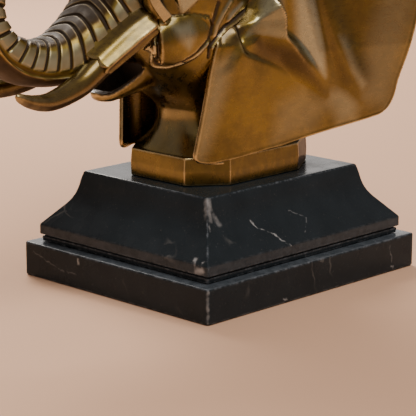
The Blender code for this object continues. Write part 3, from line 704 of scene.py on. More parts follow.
def mark_group():
    """Line mark: 1 on a straight line between two places, 0 beyond its half width from it."""
    group, start, end = new_group(
        "line mark",
        (("Position", "NodeSocketVector", (0, 0, 0)), ("Start", "NodeSocketVector", (0, 0, 0)),
         ("End", "NodeSocketVector", (0, 0, 0)), ("Width", "NodeSocketFloat", 0.001)),
        (("Mask", "NodeSocketFloat"),),
    )

    def vector(operation, first, second=None, scale=None):
        node = node_with(group, "ShaderNodeVectorMath", operation=operation)
        for key, value in ((0, first), (1, second), ("Scale", scale)):
            if value is not None:
                feed(group, node.inputs[key], value)
        return node

    run = vector("SUBTRACT", start.outputs["End"], start.outputs["Start"]).outputs[0]
    offset = vector("SUBTRACT", start.outputs["Position"], start.outputs["Start"]).outputs[0]
    along = vector("DOT_PRODUCT", offset, run).outputs["Value"]
    whole = vector("DOT_PRODUCT", run, run).outputs["Value"]
    share = math_node(group, "DIVIDE", along, whole, True)
    reached = vector("SCALE", run, scale=share).outputs[0]
    away = vector("LENGTH", vector("SUBTRACT", offset, reached).outputs[0]).outputs["Value"]
    group.links.new(spread(group, away, start.outputs["Width"], 0.0), end.inputs["Mask"])


def marble_material(settings):
    """Polished black marble: fine veins where two noises cross, white specks, scuffed pale arrises,
    drawn scratches, and dust on its ledges."""
    tree, shader, place = new_material("black marble")
    inputs = {"Vector": frayed(tree, place, 30.0, 5.0, 0.035), "Scale": 17.0}
    cells = node_with(tree, "ShaderNodeTexVoronoi", inputs, feature="DISTANCE_TO_EDGE")
    patchy = spread(tree, noise_at(tree, place, 24.0, 3.0), 0.56, 0.68)
    vein = product(tree, spread(tree, cells.outputs["Distance"], 0.016, 0.0), patchy)
    speck = spread(tree, noise_at(tree, place, 1500.0, 2.0), 0.73, 0.78)
    grain = spread(tree, noise_at(tree, place, 420.0, 3.0, 0.7), 0.66, 0.76)
    grain = product(tree, grain, spread(tree, noise_at(tree, place, 45.0, 2.0), 0.5, 0.66))
    ragged = spread(tree, noise_at(tree, place, 260.0, 4.0, 0.7), 0.42, 0.66)
    scuff = product(tree, spread(tree, painted(tree, "bulge"), 0.12, 0.75), ragged)
    marks = 0.0
    mark_place = frayed(tree, place, 330.0, 2.0, MARK_FRAY)
    for low, high, width, pale in MARBLE_MARKS:
        start, end = ([value * MM + MARK_FRAY / 2 for value in corner] for corner in (low, high))
        inputs = {"Position": mark_place, "Start": start, "End": end, "Width": (width + MARK_BLUR) * MM}
        mark = node_with(tree, "ShaderNodeGroup", inputs, node_tree=bpy.data.node_groups["line mark"])
        marks = math_node(tree, "MAXIMUM", product(tree, mark.outputs["Mask"], pale), marks)
    ledge = spread(tree, noise_at(tree, place, 190.0, 5.0, 0.7), 0.3, 0.7, 0.35, 1.0)
    light = [part * 1.9 for part in settings.stone_colour]
    colour = mix_colour(tree, noise_at(tree, place, 70.0, 4.0), settings.stone_colour, light)
    for share, layer in (
        (product(tree, vein, settings.vein_strength), settings.vein_colour),
        (product(tree, speck, 0.5), settings.vein_colour),
        (product(tree, grain, 0.16), settings.vein_colour),
        (product(tree, scuff, settings.scuff_strength), settings.scuff_colour),
        (marks, settings.mark_colour),
        (product(tree, painted(tree, "dust_and_shade"), ledge), settings.scuff_colour),
    ):
        colour = mix_colour(tree, share, colour, layer)
    tree.links.new(colour, shader.inputs["Base Color"])
    rough = spread(tree, noise_at(tree, place, 60.0, 5.0, 0.65), 0.3, 0.72, 0.17, 0.34)
    tree.links.new(total(tree, rough, product(tree, scuff, 0.3)), shader.inputs["Roughness"])
    shader.inputs["IOR"].default_value = 1.2
    add_bump(tree, shader, noise_at(tree, place, 500.0, 3.0, 0.7), 0.12, 0.2 * MM)


def arc_profile(corners, radius, segments):
    """Profile of straight runs whose corners are rounded by one or more radii, as quadratic bends."""
    rows = [corners[0]]
    wishes = np.resize(radius, len(corners))
    for before, corner, after, wish in zip(corners, corners[1:], corners[2:], wishes):
        before, corner, after = (np.array(point, dtype=float) for point in (before, corner, after))
        reach = min(wish, 0.45 * np.linalg.norm(before - corner), 0.45 * np.linalg.norm(after - corner))
        enter = corner + (before - corner) / np.linalg.norm(before - corner) * reach
        leave = corner + (after - corner) / np.linalg.norm(after - corner) * reach
        for t in np.linspace(0, 1, segments + 1):
            rows.append(tuple(enter * (1 - t) ** 2 + corner * 2 * t * (1 - t) + leave * t**2))
    rows.append(corners[-1])
    return np.array(rows)


def refine(profile, longest):
    """Cut long runs of a profile into equal steps no longer than a length."""
    rows = [profile[:1]]
    for low, high in zip(profile, profile[1:]):
        steps = max(1, int(np.ceil(np.linalg.norm(high - low) / longest)))
        rows.append(low + (high - low) * (np.arange(1, steps + 1) / steps)[:, None])
    return np.concatenate(rows)


def rectangle_path(half_x, half_y, radius, spacing):
    """Points round a rectangle with rounded corners."""
    points = []
    for sx, sy, start in ((1, -1, -90), (1, 1, 0), (-1, 1, 90), (-1, -1, 180)):
        turn = np.radians(start + np.linspace(0, 90, 7))
        centre = np.array((sx * (half_x - radius), sy * (half_y - radius)))
        points.append(centre + np.stack((np.cos(turn), np.sin(turn)), axis=-1) * radius)
        length = 2 * ((half_y if sx == -sy else half_x) - radius)
        count = int(length / spacing)
        step = np.array((-np.sin(turn[-1]), np.cos(turn[-1])))
        points.append(points[-1][-1] + np.arange(1, count)[:, None] / count * length * step)
    return np.concatenate(points)


def moulded_rings(profile, half_x, half_y, corner, spacing):
    """A profile of height and inset carried round a rectangle, whose sides move in by the inset."""
    path = rectangle_path(half_x, half_y, corner, spacing)
    heights, insets = profile[:, 0], profile[:, 1]
    scale_x = (half_x - insets) / half_x
    scale_y = (half_y - insets) / half_y
    rings = np.empty((len(profile), len(path), 3))
    rings[..., 0] = path[:, 0] * scale_x[:, None]
    rings[..., 1] = path[:, 1] * scale_y[:, None]
    rings[..., 2] = heights[:, None]
    return rings


def chipped(points, low, high, corner_half, depth, seed):
    """Press small random dents into a stone piece where it is near an outer corner or arris."""
    rough = lattice_noise(points, 2.2 * MM, seed) * 0.6 + lattice_noise(points, 0.8 * MM, seed + 1) * 0.4
    near_x = ease(np.abs(points[:, 0]), corner_half[0] - 3 * MM, corner_half[0])
    near_y = ease(np.abs(points[:, 1]), corner_half[1] - 3 * MM, corner_half[1])
    near_z = ease(points[:, 2], high - 2.5 * MM, high)
    edge = np.maximum(np.maximum(near_x * near_y, near_x * near_z), near_y * near_z)
    dent = depth * edge * ease(rough, 0.28, 0.62)
    return points * (1 - dent[:, None] / DENT_AT * (points[:, 2:] > low))


def body_form(form, rows, sides):
    """Level sections through smooth rows: across is sine to a power, along is minus cosine to 0.9."""
    knots = [(0, 0, height, half, front, back, power) for height, half, front, back, power in form]
    row = smooth_through(knots, np.linspace(0, 1, rows))
    turn = np.linspace(0, 2 * np.pi, sides, endpoint=False)
    power = np.where(np.cos(turn) > 0, row[:, 6:7], 0.8)
    rings = np.empty((rows, sides, 3))
    rings[..., 0] = row[:, 3:4] * rounded_power(np.sin(turn), power)
    middle = (row[:, 4:5] + row[:, 5:6]) / 2
    rings[..., 1] = middle - (row[:, 5:6] - row[:, 4:5]) / 2 * rounded_power(np.cos(turn), 0.9)
    rings[..., 2] = row[:, 2:3]
    return placed(rings)


def jaw_form(rows, points, wall=0.0, lift=0.0, start=0.0):
    """Level-topped U sections, of cosine and sine powers. The mouth is the same, set in by a wall, with
    its top lifted, from a start along the jaw."""
    row = smooth_through([(0, -forward, rim, half, under) for forward, half, rim, under in JAW_FORM],
                         np.linspace(start, 0.9 if wall else 1, rows))
    turn = np.linspace(0, np.pi, points)
    top = row[:, 2:3] + lift * ease(np.linspace(0, 1, rows), -0.6, 0.5)[:, None]
    wide = np.maximum(row[:, 3:4] - wall, 0.5)
    deep = np.maximum(top - row[:, 4:5] - wall, 0.4)
    rings = np.empty((rows, points, 3))
    rings[..., 0] = wide * rounded_power(np.cos(turn), 0.75)
    rings[..., 1] = row[:, 1:2] + wall
    rings[..., 2] = top - deep * rounded_power(np.sin(turn), 0.8)
    return placed(rings)


def band_form(path, rows, thick):
    """Flat strap along a path: a six-cornered section whose flat face looks out and forward."""
    row = smooth_through([(x, -forward, up, half) for x, forward, up, half in path], np.linspace(0, 1, rows))
    tangent = unit_rows(np.gradient(row[:, :3], axis=0))
    across = unit_rows(np.cross(tangent, BAND_FACE))
    outward = np.cross(across, tangent)
    section = np.array(((1, 0.7), (0.86, 1), (-0.86, 1), (-1, 0.7), (-1, -1), (1, -1)))
    rings = row[:, None, :3] + section[:, :1] * (across * row[:, 3:4])[:, None]
    rings = rings + section[:, 1:] * thick * outward[:, None]
    return placed(rings)


def edge_distance(places, corners, after):
    """Distance from each place to each straight edge between corners and the ones after them."""
    edge = after - corners
    offset = places[:, None] - corners
    share = np.clip(np.sum(offset * edge, axis=-1) / np.sum(edge * edge, axis=-1), 0, 1)
    return np.linalg.norm(offset - share[..., None] * edge, axis=-1)


def strand_hills(places):
    """Rise of each strand at each place, as a bell over the distance to its line."""
    hills = []
    for height, half, line in STRANDS:
        points = np.array(line, dtype=float)
        away = edge_distance(places, points[:-1], points[1:]).min(axis=1)
        hills.append(height * bell(away, half))
    return np.array(hills)


def outline_distance(places, outline):
    """Distance from each place to a closed outline, positive inside: least over its edges."""
    corners = np.array(outline, dtype=float)
    after = np.roll(corners, -1, axis=0)
    edge = after - corners
    away = edge_distance(places, corners, after)
    crosses = (corners[:, 1] > places[:, 1:]) != (after[:, 1] > places[:, 1:])
    rise = np.where(edge[:, 1] == 0, 1, edge[:, 1])
    meets = corners[:, 0] + (places[:, 1:] - corners[:, 1]) / rise * edge[:, 0]
    inside = np.sum(crosses & (places[:, :1] < meets), axis=1) % 2 == 1
    return away.min(axis=1) * np.where(inside, 1, -1)


def side_places(positions):
    """Places on the side of the face: backward and outward run mixed, and height, in mm."""
    side, back = np.abs(positions[:, 0]) / MM, positions[:, 1] / MM
    return side, back, np.stack((0.57 * side + 0.82 * back, (positions[:, 2] - PLINTH_TOP) / MM), axis=-1)


def face_relief(positions, normals):
    """Rise of the cheek's plate, the mouth's corner, the temple's panel and the strands, in mm."""
    side, back, places = side_places(positions)
    facing = 0.82 * normals[:, 0] * np.sign(positions[:, 0]) - 0.57 * normals[:, 1]
    seen = ease(facing, 0.15, 0.45)
    plate = outline_distance(places, CHEEK_OUTLINE)
    rim = ease(places[:, 1], 101, 94)
    rise = 1.5 * ease(plate, -0.5, 0.6)
    rise = rise - rim * 1.1 * bell(plate + RIM_GROOVE, RIM_HALF)
    rise = rise + rim * 0.75 * bell(plate + RIM_RIDGE, RIM_HALF) * (places[:, 1] < RIM_TOP)
    rise = rise + 1.2 * ease(outline_distance(places, MOUTH_CORNER), -0.4, 0.5)
    temple = outline_distance(places, TEMPLE_PANEL)
    rise = rise + (0.5 + 0.16 * np.clip(places[:, 1] - 98, 0, 12)) * ease(temple, -0.4, 0.5)
    return rise * (seen * (0.82 * side - 0.57 * back > 40)) + strand_hills(places).sum(axis=0) * seen


def foot_form():
    """Eight-sided foot: at each height of a profile its outline, drawn in by the inset over 40 mm."""
    right = refine(arc_profile(FOOT_HALF, 0.5, 4), 1.2)
    outline = np.concatenate((right, right[-2:0:-1] * (-1, 1)))
    profile = refine(arc_profile([(0.3, 6), (0.3, 0.2), (8, 0), (16.0, 0.5), (16.0, 8)], 0.5, 4), 1.2)
    rings = np.empty((len(profile), len(outline), 3))
    rings[..., :2] = outline * (1 - profile[:, 1] / 40)[:, None, None]
    rings[..., 2] = profile[:, :1]
    return placed(rings)


def ball_form(centre, radii, turn, tilt):
    """Rounded lump: a sphere of sines and cosines, stretched, tilted about X, then turned about Z."""
    polar = np.linspace(0.02, np.pi - 0.02, 24)[:, None]
    around = np.linspace(0, 2 * np.pi, 40, endpoint=False)
    lump = np.stack((np.cos(polar) * np.ones_like(around), np.sin(polar) * np.cos(around),
                     np.sin(polar) * np.sin(around)), axis=-1) * radii
    t, z = math.radians(tilt), math.radians(turn)
    y = lump[..., 1] * math.cos(t) - lump[..., 2] * math.sin(t)
    up = lump[..., 1] * math.sin(t) + lump[..., 2] * math.cos(t)
    x = lump[..., 0] * math.cos(z) - y * math.sin(z)
    y = lump[..., 0] * math.sin(z) + y * math.cos(z)
    return placed(np.stack((x, y, up), axis=-1) + centre)


def path_frames(rows):
    """Unit tangent, sideways and upward directions along a path that runs forward."""
    tangent = unit_rows(np.gradient(rows[:, :3], axis=0))
    up = unit_rows(np.cross(np.cross(tangent, (0, 0, 1.0)), tangent))
    side = np.cross(up, tangent)
    return tangent, side * np.sign(side[:, :1]), up


def round_path(form, rows, sides, tip=0.0):
    """Round tube of changing radius along a smooth path, drawn in to a dome at its far end."""
    knots = [(x, -forward, height, radius) for x, forward, height, radius in form]
    steps = 1 - (1 - np.linspace(0, 1, rows)) ** 1.15
    row = smooth_through(knots, steps)
    _, side, up = path_frames(row)
    turn = np.linspace(0, 2 * np.pi, sides, endpoint=False)
    left = np.clip((1 - steps) / max(tip, 1e-6), 0, 1) if tip else np.ones(rows)
    radius = row[:, 3] * np.sqrt(np.clip(1 - (1 - left) ** 2, 0.004, 1))
    rings = row[:, None, :3] + radius[:, None, None] * (
        np.cos(turn)[:, None] * side[:, None] + np.sin(turn)[:, None] * up[:, None])
    return placed(rings)


def trunk_form(rib_depth):
    """Trunk along its bend, and its tone of painted light.

    Its rings are swept forward at the sides and the belly. Plates rise between thin grooves, up to a
    ridge on each side, and a slow noise lifts them a little. The tone is painted light with a little
    noise: a dull dark film of painted shade on the top, painted highlights on the sides and on the
    ridge, painted shade below the ridge, and the dull dark film of painted shade in the grooves.
    """
    edges = np.r_[RIB_EDGES[:-1], np.linspace(RIB_EDGES[-1], 1, EVEN_RIBS + 1)]
    rows = (len(edges) - 1) * ROWS_PER_RIB + 1
    around = np.linspace(0, 1, HALF_TRUNK_SIDES)
    half = smooth_through([(x, up, 0) for x, up in TRUNK_SECTION], around)
    section = np.concatenate((half, half[-2:0:-1] * (-1, 1, 1)))
    share = np.r_[around, np.linspace(1, 0, HALF_TRUNK_SIDES)[1:-1]]
    phase = np.arange(rows) / ROWS_PER_RIB
    steps = np.interp(phase, np.arange(len(edges)), edges)
    knots = [(0, -forward, height, wide, thick) for forward, height, wide, thick in TRUNK_FORM]
    length = np.sum(np.linalg.norm(np.diff(np.array(knots)[:, :3], axis=0), axis=1))
    plain = smooth_through(knots, steps[:, None])
    fade = np.interp(steps, (0, 0.12, 0.9, 1), (0, 1, 1, 0))[:, None]
    sweep = RIB_SWEEP[0] * np.sqrt(section[:, 0] ** 2 + 0.02) * plain[..., 3]
    sweep = (sweep + RIB_SWEEP[1] * (1 - section[:, 1]) * plain[..., 4]) * fade / length
    row = smooth_through(knots, steps[:, None] + sweep)
    spine = smooth_through(knots, np.linspace(0, 1, TRUNK_STEPS))
    heading = unit_rows(np.gradient(spine[:, :3], axis=0))
    place = np.clip((steps[:, None] + sweep) * (TRUNK_STEPS - 1), 0, TRUNK_STEPS - 1)
    tangent = np.stack([np.interp(place, np.arange(TRUNK_STEPS), heading[:, k]) for k in range(3)], axis=-1)
    inward = np.cross(tangent, (1.0, 0, 0))
    within = phase[:, None] % 1
    plate = np.interp(within, (0, 0.16, 0.22, 0.3, 0.9, 0.96, 1.0), (0, 0.0, 0.85, 1.0, 0.84, 0.6, 0))
    ribbed = 1 - ease(share, RIB_END - 0.03, RIB_END + 0.02)
    root = ease(steps, 0.04, 0.14)[:, None]
    lift = rib_depth / MM * (plate - 0.55) * ribbed * root - 0.25 * (1 - ribbed) * root
    ridge = bell(share - TRUNK_RIDGE[0], TRUNK_RIDGE[1])
    wide = row[..., 3] + lift + ridge
    thick = row[..., 4] + lift + ridge * 0.3
    rings = row[..., :3] + inward * (section[:, 1] * thick)[..., None]
    rings[..., 0] += section[:, 0] * wide
    lumps = lattice_noise(rings, 9.0, 5) * 0.25 * ribbed
    rings = rings + inward * lumps[..., None]
    turned = share + lattice_noise(rings, 6.0, 8) * 0.03
    # Painted light round the section: dull dark film on the top, highlights on the sides, shade next to the
    # ridge, a highlight on it, and shade below it.
    pale = np.interp(turned, (0, 0.16, 0.22, 0.3, 0.42, 0.56, 0.6, 0.64, 0.655, 0.67, 0.7),
                     (-1.9, -1.8, -1.2, 0.3, 0.8, 0.7, -0.7, -0.7, 0.7, -0.9, -1.5))
    tone_and_painted_light = pale * ease(steps, 0.06, 0.2)[:, None] + lattice_noise(rings, 5.0, 9) * 0.3
    # Painted shade in the grooves between the plates, as a dull dark film.
    tone_and_painted_light = tone_and_painted_light - (2.2 + np.maximum(tone_and_painted_light, 0)) * (1 - ease(plate, 0.1, 0.7)) * ribbed * root
    return placed(rings), tone_and_painted_light


def sheath_form():
    """Tusk sheath: a six-sided section with hollowed faces and softened corners, carried along its
    path to a collar whose edge is scalloped once on each face."""
    knots = [(x, -forward, height, scale) for x, forward, height, scale in SHEATH_FORM]
    row = smooth_through(knots, np.linspace(0, 1, 60))
    heading, side, up = path_frames(row)
    corners = np.array(SHEATH_SECTION)
    after = np.roll(corners, -1, axis=0)
    share = np.linspace(0, 1, 10, endpoint=False)
    section = corners[:, None] * (1 - share)[:, None] + after[:, None] * share[:, None]
    hollow = 1 - 0.05 * np.sin(np.pi * share)
    section = (section * hollow[:, None]).reshape(-1, 2)
    for _ in range(3):
        section = 0.5 * section + 0.25 * (np.roll(section, 1, axis=0) + np.roll(section, -1, axis=0))
    along = np.linspace(0, 1, 60)
    collar = (1 - 0.1 * ease(along, 0.97, 1.0)) * (1 - 0.25 * ease(along, 0.06, 0.0))
    scale = (row[:, 3] * collar)[:, None, None]
    rings = row[:, None, :3] + scale * (section[:, :1] * side[:, None] + section[:, 1:] * up[:, None])
    scallop = 1.7 * np.tile(np.sin(np.pi * share) - 0.5, len(corners)) * ease(along, 0.8, 1.0)[:, None]
    rings = rings + scallop[..., None] * heading[:, None]
    return placed(rings)


def crest_distance(back, up, knots):
    """Nearest point of a crest for each place: distance, side, and the crest's values there."""
    rows = smooth_through([(a, b, 0, c, d, e) for a, b, c, d, e in knots], np.linspace(0, 1, 70))
    step = np.gradient(rows[:, :2], axis=0)
    offset_x = back[..., None] - rows[:, 0]
    offset_y = up[..., None] - rows[:, 1]
    away = np.hypot(offset_x, offset_y)
    near = np.argmin(away, axis=-1)
    distance = np.take_along_axis(away, near[..., None], axis=-1)[..., 0]
    cross = step[:, 0] * offset_y - step[:, 1] * offset_x
    behind = np.take_along_axis(cross, near[..., None], axis=-1)[..., 0] > 0
    return distance, behind, rows[near]


def ear_out(back, up, share):
    """Outward place of the ear's face: lean and flare, plus the largest fold, less creases and roll."""
    level = smooth_through([(a, b, 0) for a, b in EAR_SECTION], np.linspace(0, 1, 300))
    out = EAR_FRONT_OUT + EAR_LEAN * (np.minimum(up, EAR_LEAN_TOP) - EAR_LOW)
    out = out + np.interp(back, level[:, 0], level[:, 1])
    rise = np.zeros_like(back)
    for knots in EAR_FOLDS:
        distance, behind, row = crest_distance(back, up, knots)
        slope = np.clip(1 - distance / row[..., 4], 0, 1)
        front = slope * slope * (3 - 2 * slope) * 0.4 + slope * 0.6
        rear = bell(distance, row[..., 5])
        fold = row[..., 3] * np.where(behind, rear, front)
        rise = 0.5 * (rise + fold + np.sqrt((rise - fold) ** 2 + 0.15)) - 0.19
    for knots in EAR_CREASES:
        distance, behind, row = crest_distance(back, up, knots)
        width = np.where(behind, row[..., 5], row[..., 4])
        rise = rise - row[..., 3] * bell(distance, width)
    depth, reach, low, high = ROOT_ROLL
    roll = depth * np.clip((up - low) / (high - low), 0, 1) * bell(share, reach)
    return out + rise - roll


def ear_form(thickness):
    """Outer and inner face of the ear between four edges, with its corners drawn in to arcs.

    Each place is the mix of the side edges plus the mix of the lower and top edges, less the mix of the
    corners. A shallow groove runs round the outer face. The inner face is a thickness behind it,
    and flat where the web fills the gap to the neck.
    """
    s, t = np.meshgrid(np.linspace(0, 1, EAR_COLUMNS + 1), np.linspace(0, 1, EAR_ROWS + 1))
    wide, tall = EAR_SIZE
    for at_s, at_t, radius in EAR_ROUNDS:
        off_s = np.clip(radius - np.abs(s - at_s) * wide, 0, radius)
        off_t = np.clip(radius - np.abs(t - at_t) * tall, 0, radius)
        draw = np.maximum(off_s, off_t) / np.maximum(np.hypot(off_s, off_t), 1e-9)
        draw = np.where((off_s > 0) & (off_t > 0), draw, 1)
        s = s + off_s * (1 - draw) / wide * (1 - 2 * at_s)
        t = t + off_t * (1 - draw) / tall * (1 - 2 * at_t)
    front, rear, low, top = (
        smooth_through([(a, b, 0) for a, b in edge], steps)[..., :2]
        for edge, steps in ((EAR_FRONT_EDGE, t), (EAR_REAR_EDGE, t), (EAR_LOWER_EDGE, s), (EAR_TOP_EDGE, s)))
    ss, tt = s[..., None], t[..., None]
    sides = front * (1 - ss) + rear * ss
    ends = low * (1 - tt) + top * tt
    corners = (1 - ss) * ((1 - tt) * EAR_LOWER_EDGE[0] + tt * EAR_TOP_EDGE[0])
    corners = corners + ss * ((1 - tt) * EAR_LOWER_EDGE[-1] + tt * EAR_TOP_EDGE[-1])
    back, up = np.moveaxis(sides + ends - corners, -1, 0)
    out = ear_out(back, up, s)
    border = np.minimum(np.minimum(s, 1 - s) * wide, np.minimum(t, 1 - t) * tall)
    out = out - 0.3 * bell(border - 2.1, 0.8)
    web = np.interp(back, *WEB_BACK) * np.interp(up, *WEB_UP)
    web = web * web * (3 - 2 * web)
    inner = (out - thickness / MM) * (1 - web) + WEB_OUT * web
    outer_face = np.stack((out, back, up), axis=-1)
    inner_face = np.stack((inner, back, up), axis=-1)
    return outer_face, inner_face


def rim_order(rows, columns):
    """Numbers of a grid's border vertices, once round."""
    grid = np.arange(rows * columns).reshape(rows, columns)
    return np.concatenate((grid[0, :-1], grid[:-1, -1], grid[-1, :0:-1], grid[:0:-1, 0]))


def ear_mesh(thickness):
    """Join the ear's two faces round a rim that bulges as a half circle."""
    outer, inner = ear_form(thickness)
    rows, columns = outer.shape[:2]
    count = rows * columns
    grid = np.arange(count).reshape(rows, columns)
    quads = np.stack((grid[:-1, :-1], grid[:-1, 1:], grid[1:, 1:], grid[1:, :-1]), axis=-1).reshape(-1, 4)
    border = rim_order(rows, columns)
    outer_flat, inner_flat = outer.reshape(-1, 3), inner.reshape(-1, 3)
    edge_out, edge_in = outer_flat[border], inner_flat[border]
    heading = unit_rows(np.roll(edge_out[:, 1:], -1, axis=0) - np.roll(edge_out[:, 1:], 1, axis=0))
    normal = np.stack((np.zeros(len(border)), heading[:, 1], -heading[:, 0]), axis=-1)
    loops = []
    for angle in np.linspace(0, np.pi, 7)[1:-1]:
        share = (1 - np.cos(angle)) / 2
        loops.append(edge_out * (1 - share) + edge_in * share + normal * 0.55 * np.sin(angle))
    points = np.concatenate((outer_flat, inner_flat, *loops))
    size = len(border)
    rings = [border, *(2 * count + k * size + np.arange(size) for k in range(len(loops))), border + count]
    bands = [np.stack((a, b, np.roll(b, -1), np.roll(a, -1)), axis=-1) for a, b in zip(rings, rings[1:])]
    faces = np.concatenate((quads, quads[:, ::-1] + count, *bands))
    return placed(points), faces


def colour_setting(name, description, default):
    """Property that holds a colour."""
    return FloatVectorProperty(name=name, description=description, subtype="COLOR", size=3, default=default)


def share_setting(name, description, default):
    """Property that holds a share from 0 to 1."""
    return FloatProperty(name=name, description=description, default=default, min=0, max=1, subtype="FACTOR")


def length_setting(name, description, default):
    """Property that holds a length."""
    return FloatProperty(name=name, description=description, default=default, unit="LENGTH")


def angle_setting(name, description, degrees):
    """Property that holds an angle, with its default in degrees."""
    return FloatProperty(name=name, description=description, default=math.radians(degrees), subtype="ANGLE")


class BUST_PG_marble(bpy.types.PropertyGroup):
    """Sizes and colours of the plinth."""
    arris: length_setting("Arris", "Rounding of the marble's edges", 1.2 * MM)
    stone_colour: colour_setting("Stone", "Ground colour of the marble", (0.0132, 0.018, 0.0218))
    vein_colour: colour_setting("Veins", "Colour of veins and specks", (0.5, 0.48, 0.45))
    vein_strength: share_setting("Vein strength", "How clearly veins show", 0.14)
    scuff_colour: colour_setting("Scuffs", "Colour of rubbed edges and of dust", (0.15, 0.17, 0.195))
    mark_colour: colour_setting("Marks", "Colour of scratches and chips", (0.42, 0.43, 0.44))
    scuff_strength: share_setting("Scuff strength", "How rubbed the edges are", 0.8)


class BUST_PG_bronze(bpy.types.PropertyGroup):
    """Sizes and colours of the casting."""
    patina_colour: colour_setting("Patina", "Main colour of the bronze", (0.205, 0.14, 0.02))
    worn_colour: colour_setting("Worn", "Bright colour of rubbed edges", (0.72, 0.55, 0.27))
    # Pale colour of rubbed patches, also used for painted highlights.
    rubbed_and_highlight_colour: colour_setting("Rubbed", "Pale colour of handled patches", (0.47, 0.47, 0.33))
    # Brown of untouched patches, also used for painted shade.
    brown_and_shade_colour: colour_setting("Brown", "Colour of untouched patches", (0.075, 0.042, 0.01))
    # Dark patina of hollows, also the colour of the dull film of painted shade.
    recess_and_shade_colour: colour_setting("Recess", "Dark colour of hollows and dull film", (0.034, 0.02, 0.008))
    # Painted shade: colour of the dull coat laid inside the mouth.
    mouth_shade_colour: colour_setting("Dust", "Dull colour inside the mouth", (0.1, 0.082, 0.062))
    roughness: share_setting("Roughness", "Sheen of the waxed surface", 0.3)
    rib_depth: length_setting("Rib depth", "Height of the trunk's plates", 1.35 * MM)
    ear_thickness: length_setting("Ear thickness", "Thickness of the ear's sheet", 3.0 * MM)
    voxel: length_setting("Fineness", "Cell size that blends the body's forms", 0.8 * MM)
    relax_rounds: IntProperty(
        name="Softness", description="Rounds of smoothing of the body", default=6, min=0)


class BUST_PG_stage(bpy.types.PropertyGroup):
    """Camera, floor and lights."""
    azimuth: angle_setting("Azimuth", "Turn of the view", 44.43)
    elevation: angle_setting("Elevation", "Height of the view", 13.5)
    distance: length_setting("Distance", "Camera to target", 1.113)
    target: FloatVectorProperty(
        name="Target", description="Point the camera faces", subtype="TRANSLATION", size=3,
        default=(-0.005, -0.0058, 0.0375))
    focal_share: FloatProperty(
        name="Focal share", description="Focal length over picture width", default=1895 / 416)
    floor_colour: colour_setting("Floor", "Colour of the floor", (0.82, 0.5, 0.32))


class BUST_OT_shaders(bpy.types.Operator):
    """Build the shader groups and materials"""
    bl_idname = "object.bust_shaders"
    bl_label = "Build Materials"

    def execute(self, context):
        patina_group()
        mark_group()
        marble_material(context.scene.bust_marble)
        bronze = context.scene.bust_bronze
        bronze_material("cast bronze", bronze, 0.75, 0.8, (260, 260, 90), 0.22)
        bronze_material("ribbed bronze", bronze, 0.5, 1.0, (300, 220, 220), 0.3, 0.14)
        bronze_material("ear bronze", bronze, 0.75, 0.7, (500, 160, 420), 0.16)
        bronze_material("tusk bronze", bronze, 0.5, 0.7, (420, 90, 420), 0.16)
        return {"FINISHED"}


class BUST_OT_slab(bpy.types.Operator):
    """Build the plain slab of the plinth"""
    bl_idname = "mesh.bust_slab"
    bl_label = "Plinth Slab"

    def execute(self, context):
        arris = context.scene.bust_marble.arris
        half_x, half_y = SLAB_HIGH[:2]
        corners = [(SLAB_LOW[2], 12 * MM), (SLAB_LOW[2], 0), (SLAB_HIGH[2], 0), (SLAB_HIGH[2], 12 * MM)]
        profile = refine(arc_profile(corners, arris, 5), 1.6 * MM)
        rings = moulded_rings(profile, half_x, half_y, 1.7 * MM, 1.5 * MM)
        points, faces = closed_tube(rings)
        points = chipped(points, SLAB_LOW[2], SLAB_HIGH[2], (half_x, half_y), 0.15 * MM, 3)
        slab = add_mesh("marble_slab", points, faces)
        paint_curvature(slab, 0.0016, 1)
        positions, normals = vertex_arrays(slab.data)
        top = positions[:, 2] > SLAB_HIGH[2] - 2 * MM
        paint(slab, "dust_and_shade", 0.6 * ease(normals[:, 2], 0.5, 0.9) * top)
        finish_piece(slab, "plinth_slab", "black marble")
        return {"FINISHED"}


class BUST_OT_block(bpy.types.Operator):
    """Build the moulded block of the plinth"""
    bl_idname = "mesh.bust_block"
    bl_label = "Plinth Block"

    def execute(self, context):
        arris = context.scene.bust_marble.arris
        half_x, half_y = BLOCK_HIGH[:2]
        low, high = BLOCK_LOW[2], BLOCK_HIGH[2]
        lip_low, lip_high = SLAB_HIGH[2] + 4.4 * MM, SLAB_HIGH[2] + 10.2 * MM
        inset = half_x - 50 * MM
        fillet = lip_low - 1.2 * MM
        corners = [(low, 14 * MM), (low, 1.2 * MM), (fillet, 0.9 * MM), (fillet + 0.2 * MM, 2.2 * MM),
                   (lip_low, 2.2 * MM), (lip_low, 0), (lip_high, 0)]
        for rise, share in ((0.42, 0.64), (0.56, 0.785), (0.7, 0.865), (0.86, 0.925)):
            corners.append((lip_high + (high - lip_high) * rise, inset * share))
        corners += [(high, inset * 0.995), (high, inset + 14 * MM)]
        bends = [0.5 * arris] * 5 + [0.8 * arris, *[4 * MM] * 4, arris]
        profile = refine(arc_profile(corners, bends, 6), 1.6 * MM)
        rings = moulded_rings(profile, half_x, half_y, 0.9 * MM, 1.5 * MM)
        points, faces = closed_tube(rings)
        block = add_mesh("marble_block", points, faces)
        paint_curvature(block, 0.0016, 1)
        heights = vertex_arrays(block.data)[0][:, 2]
        face = ease(heights, lip_high, lip_high - 1.2 * MM) * ease(heights, fillet - MM, fillet)
        paint(block, "dust_and_shade", 0.3 * face)
        finish_piece(block, "plinth_block", "black marble")
        return {"FINISHED"}


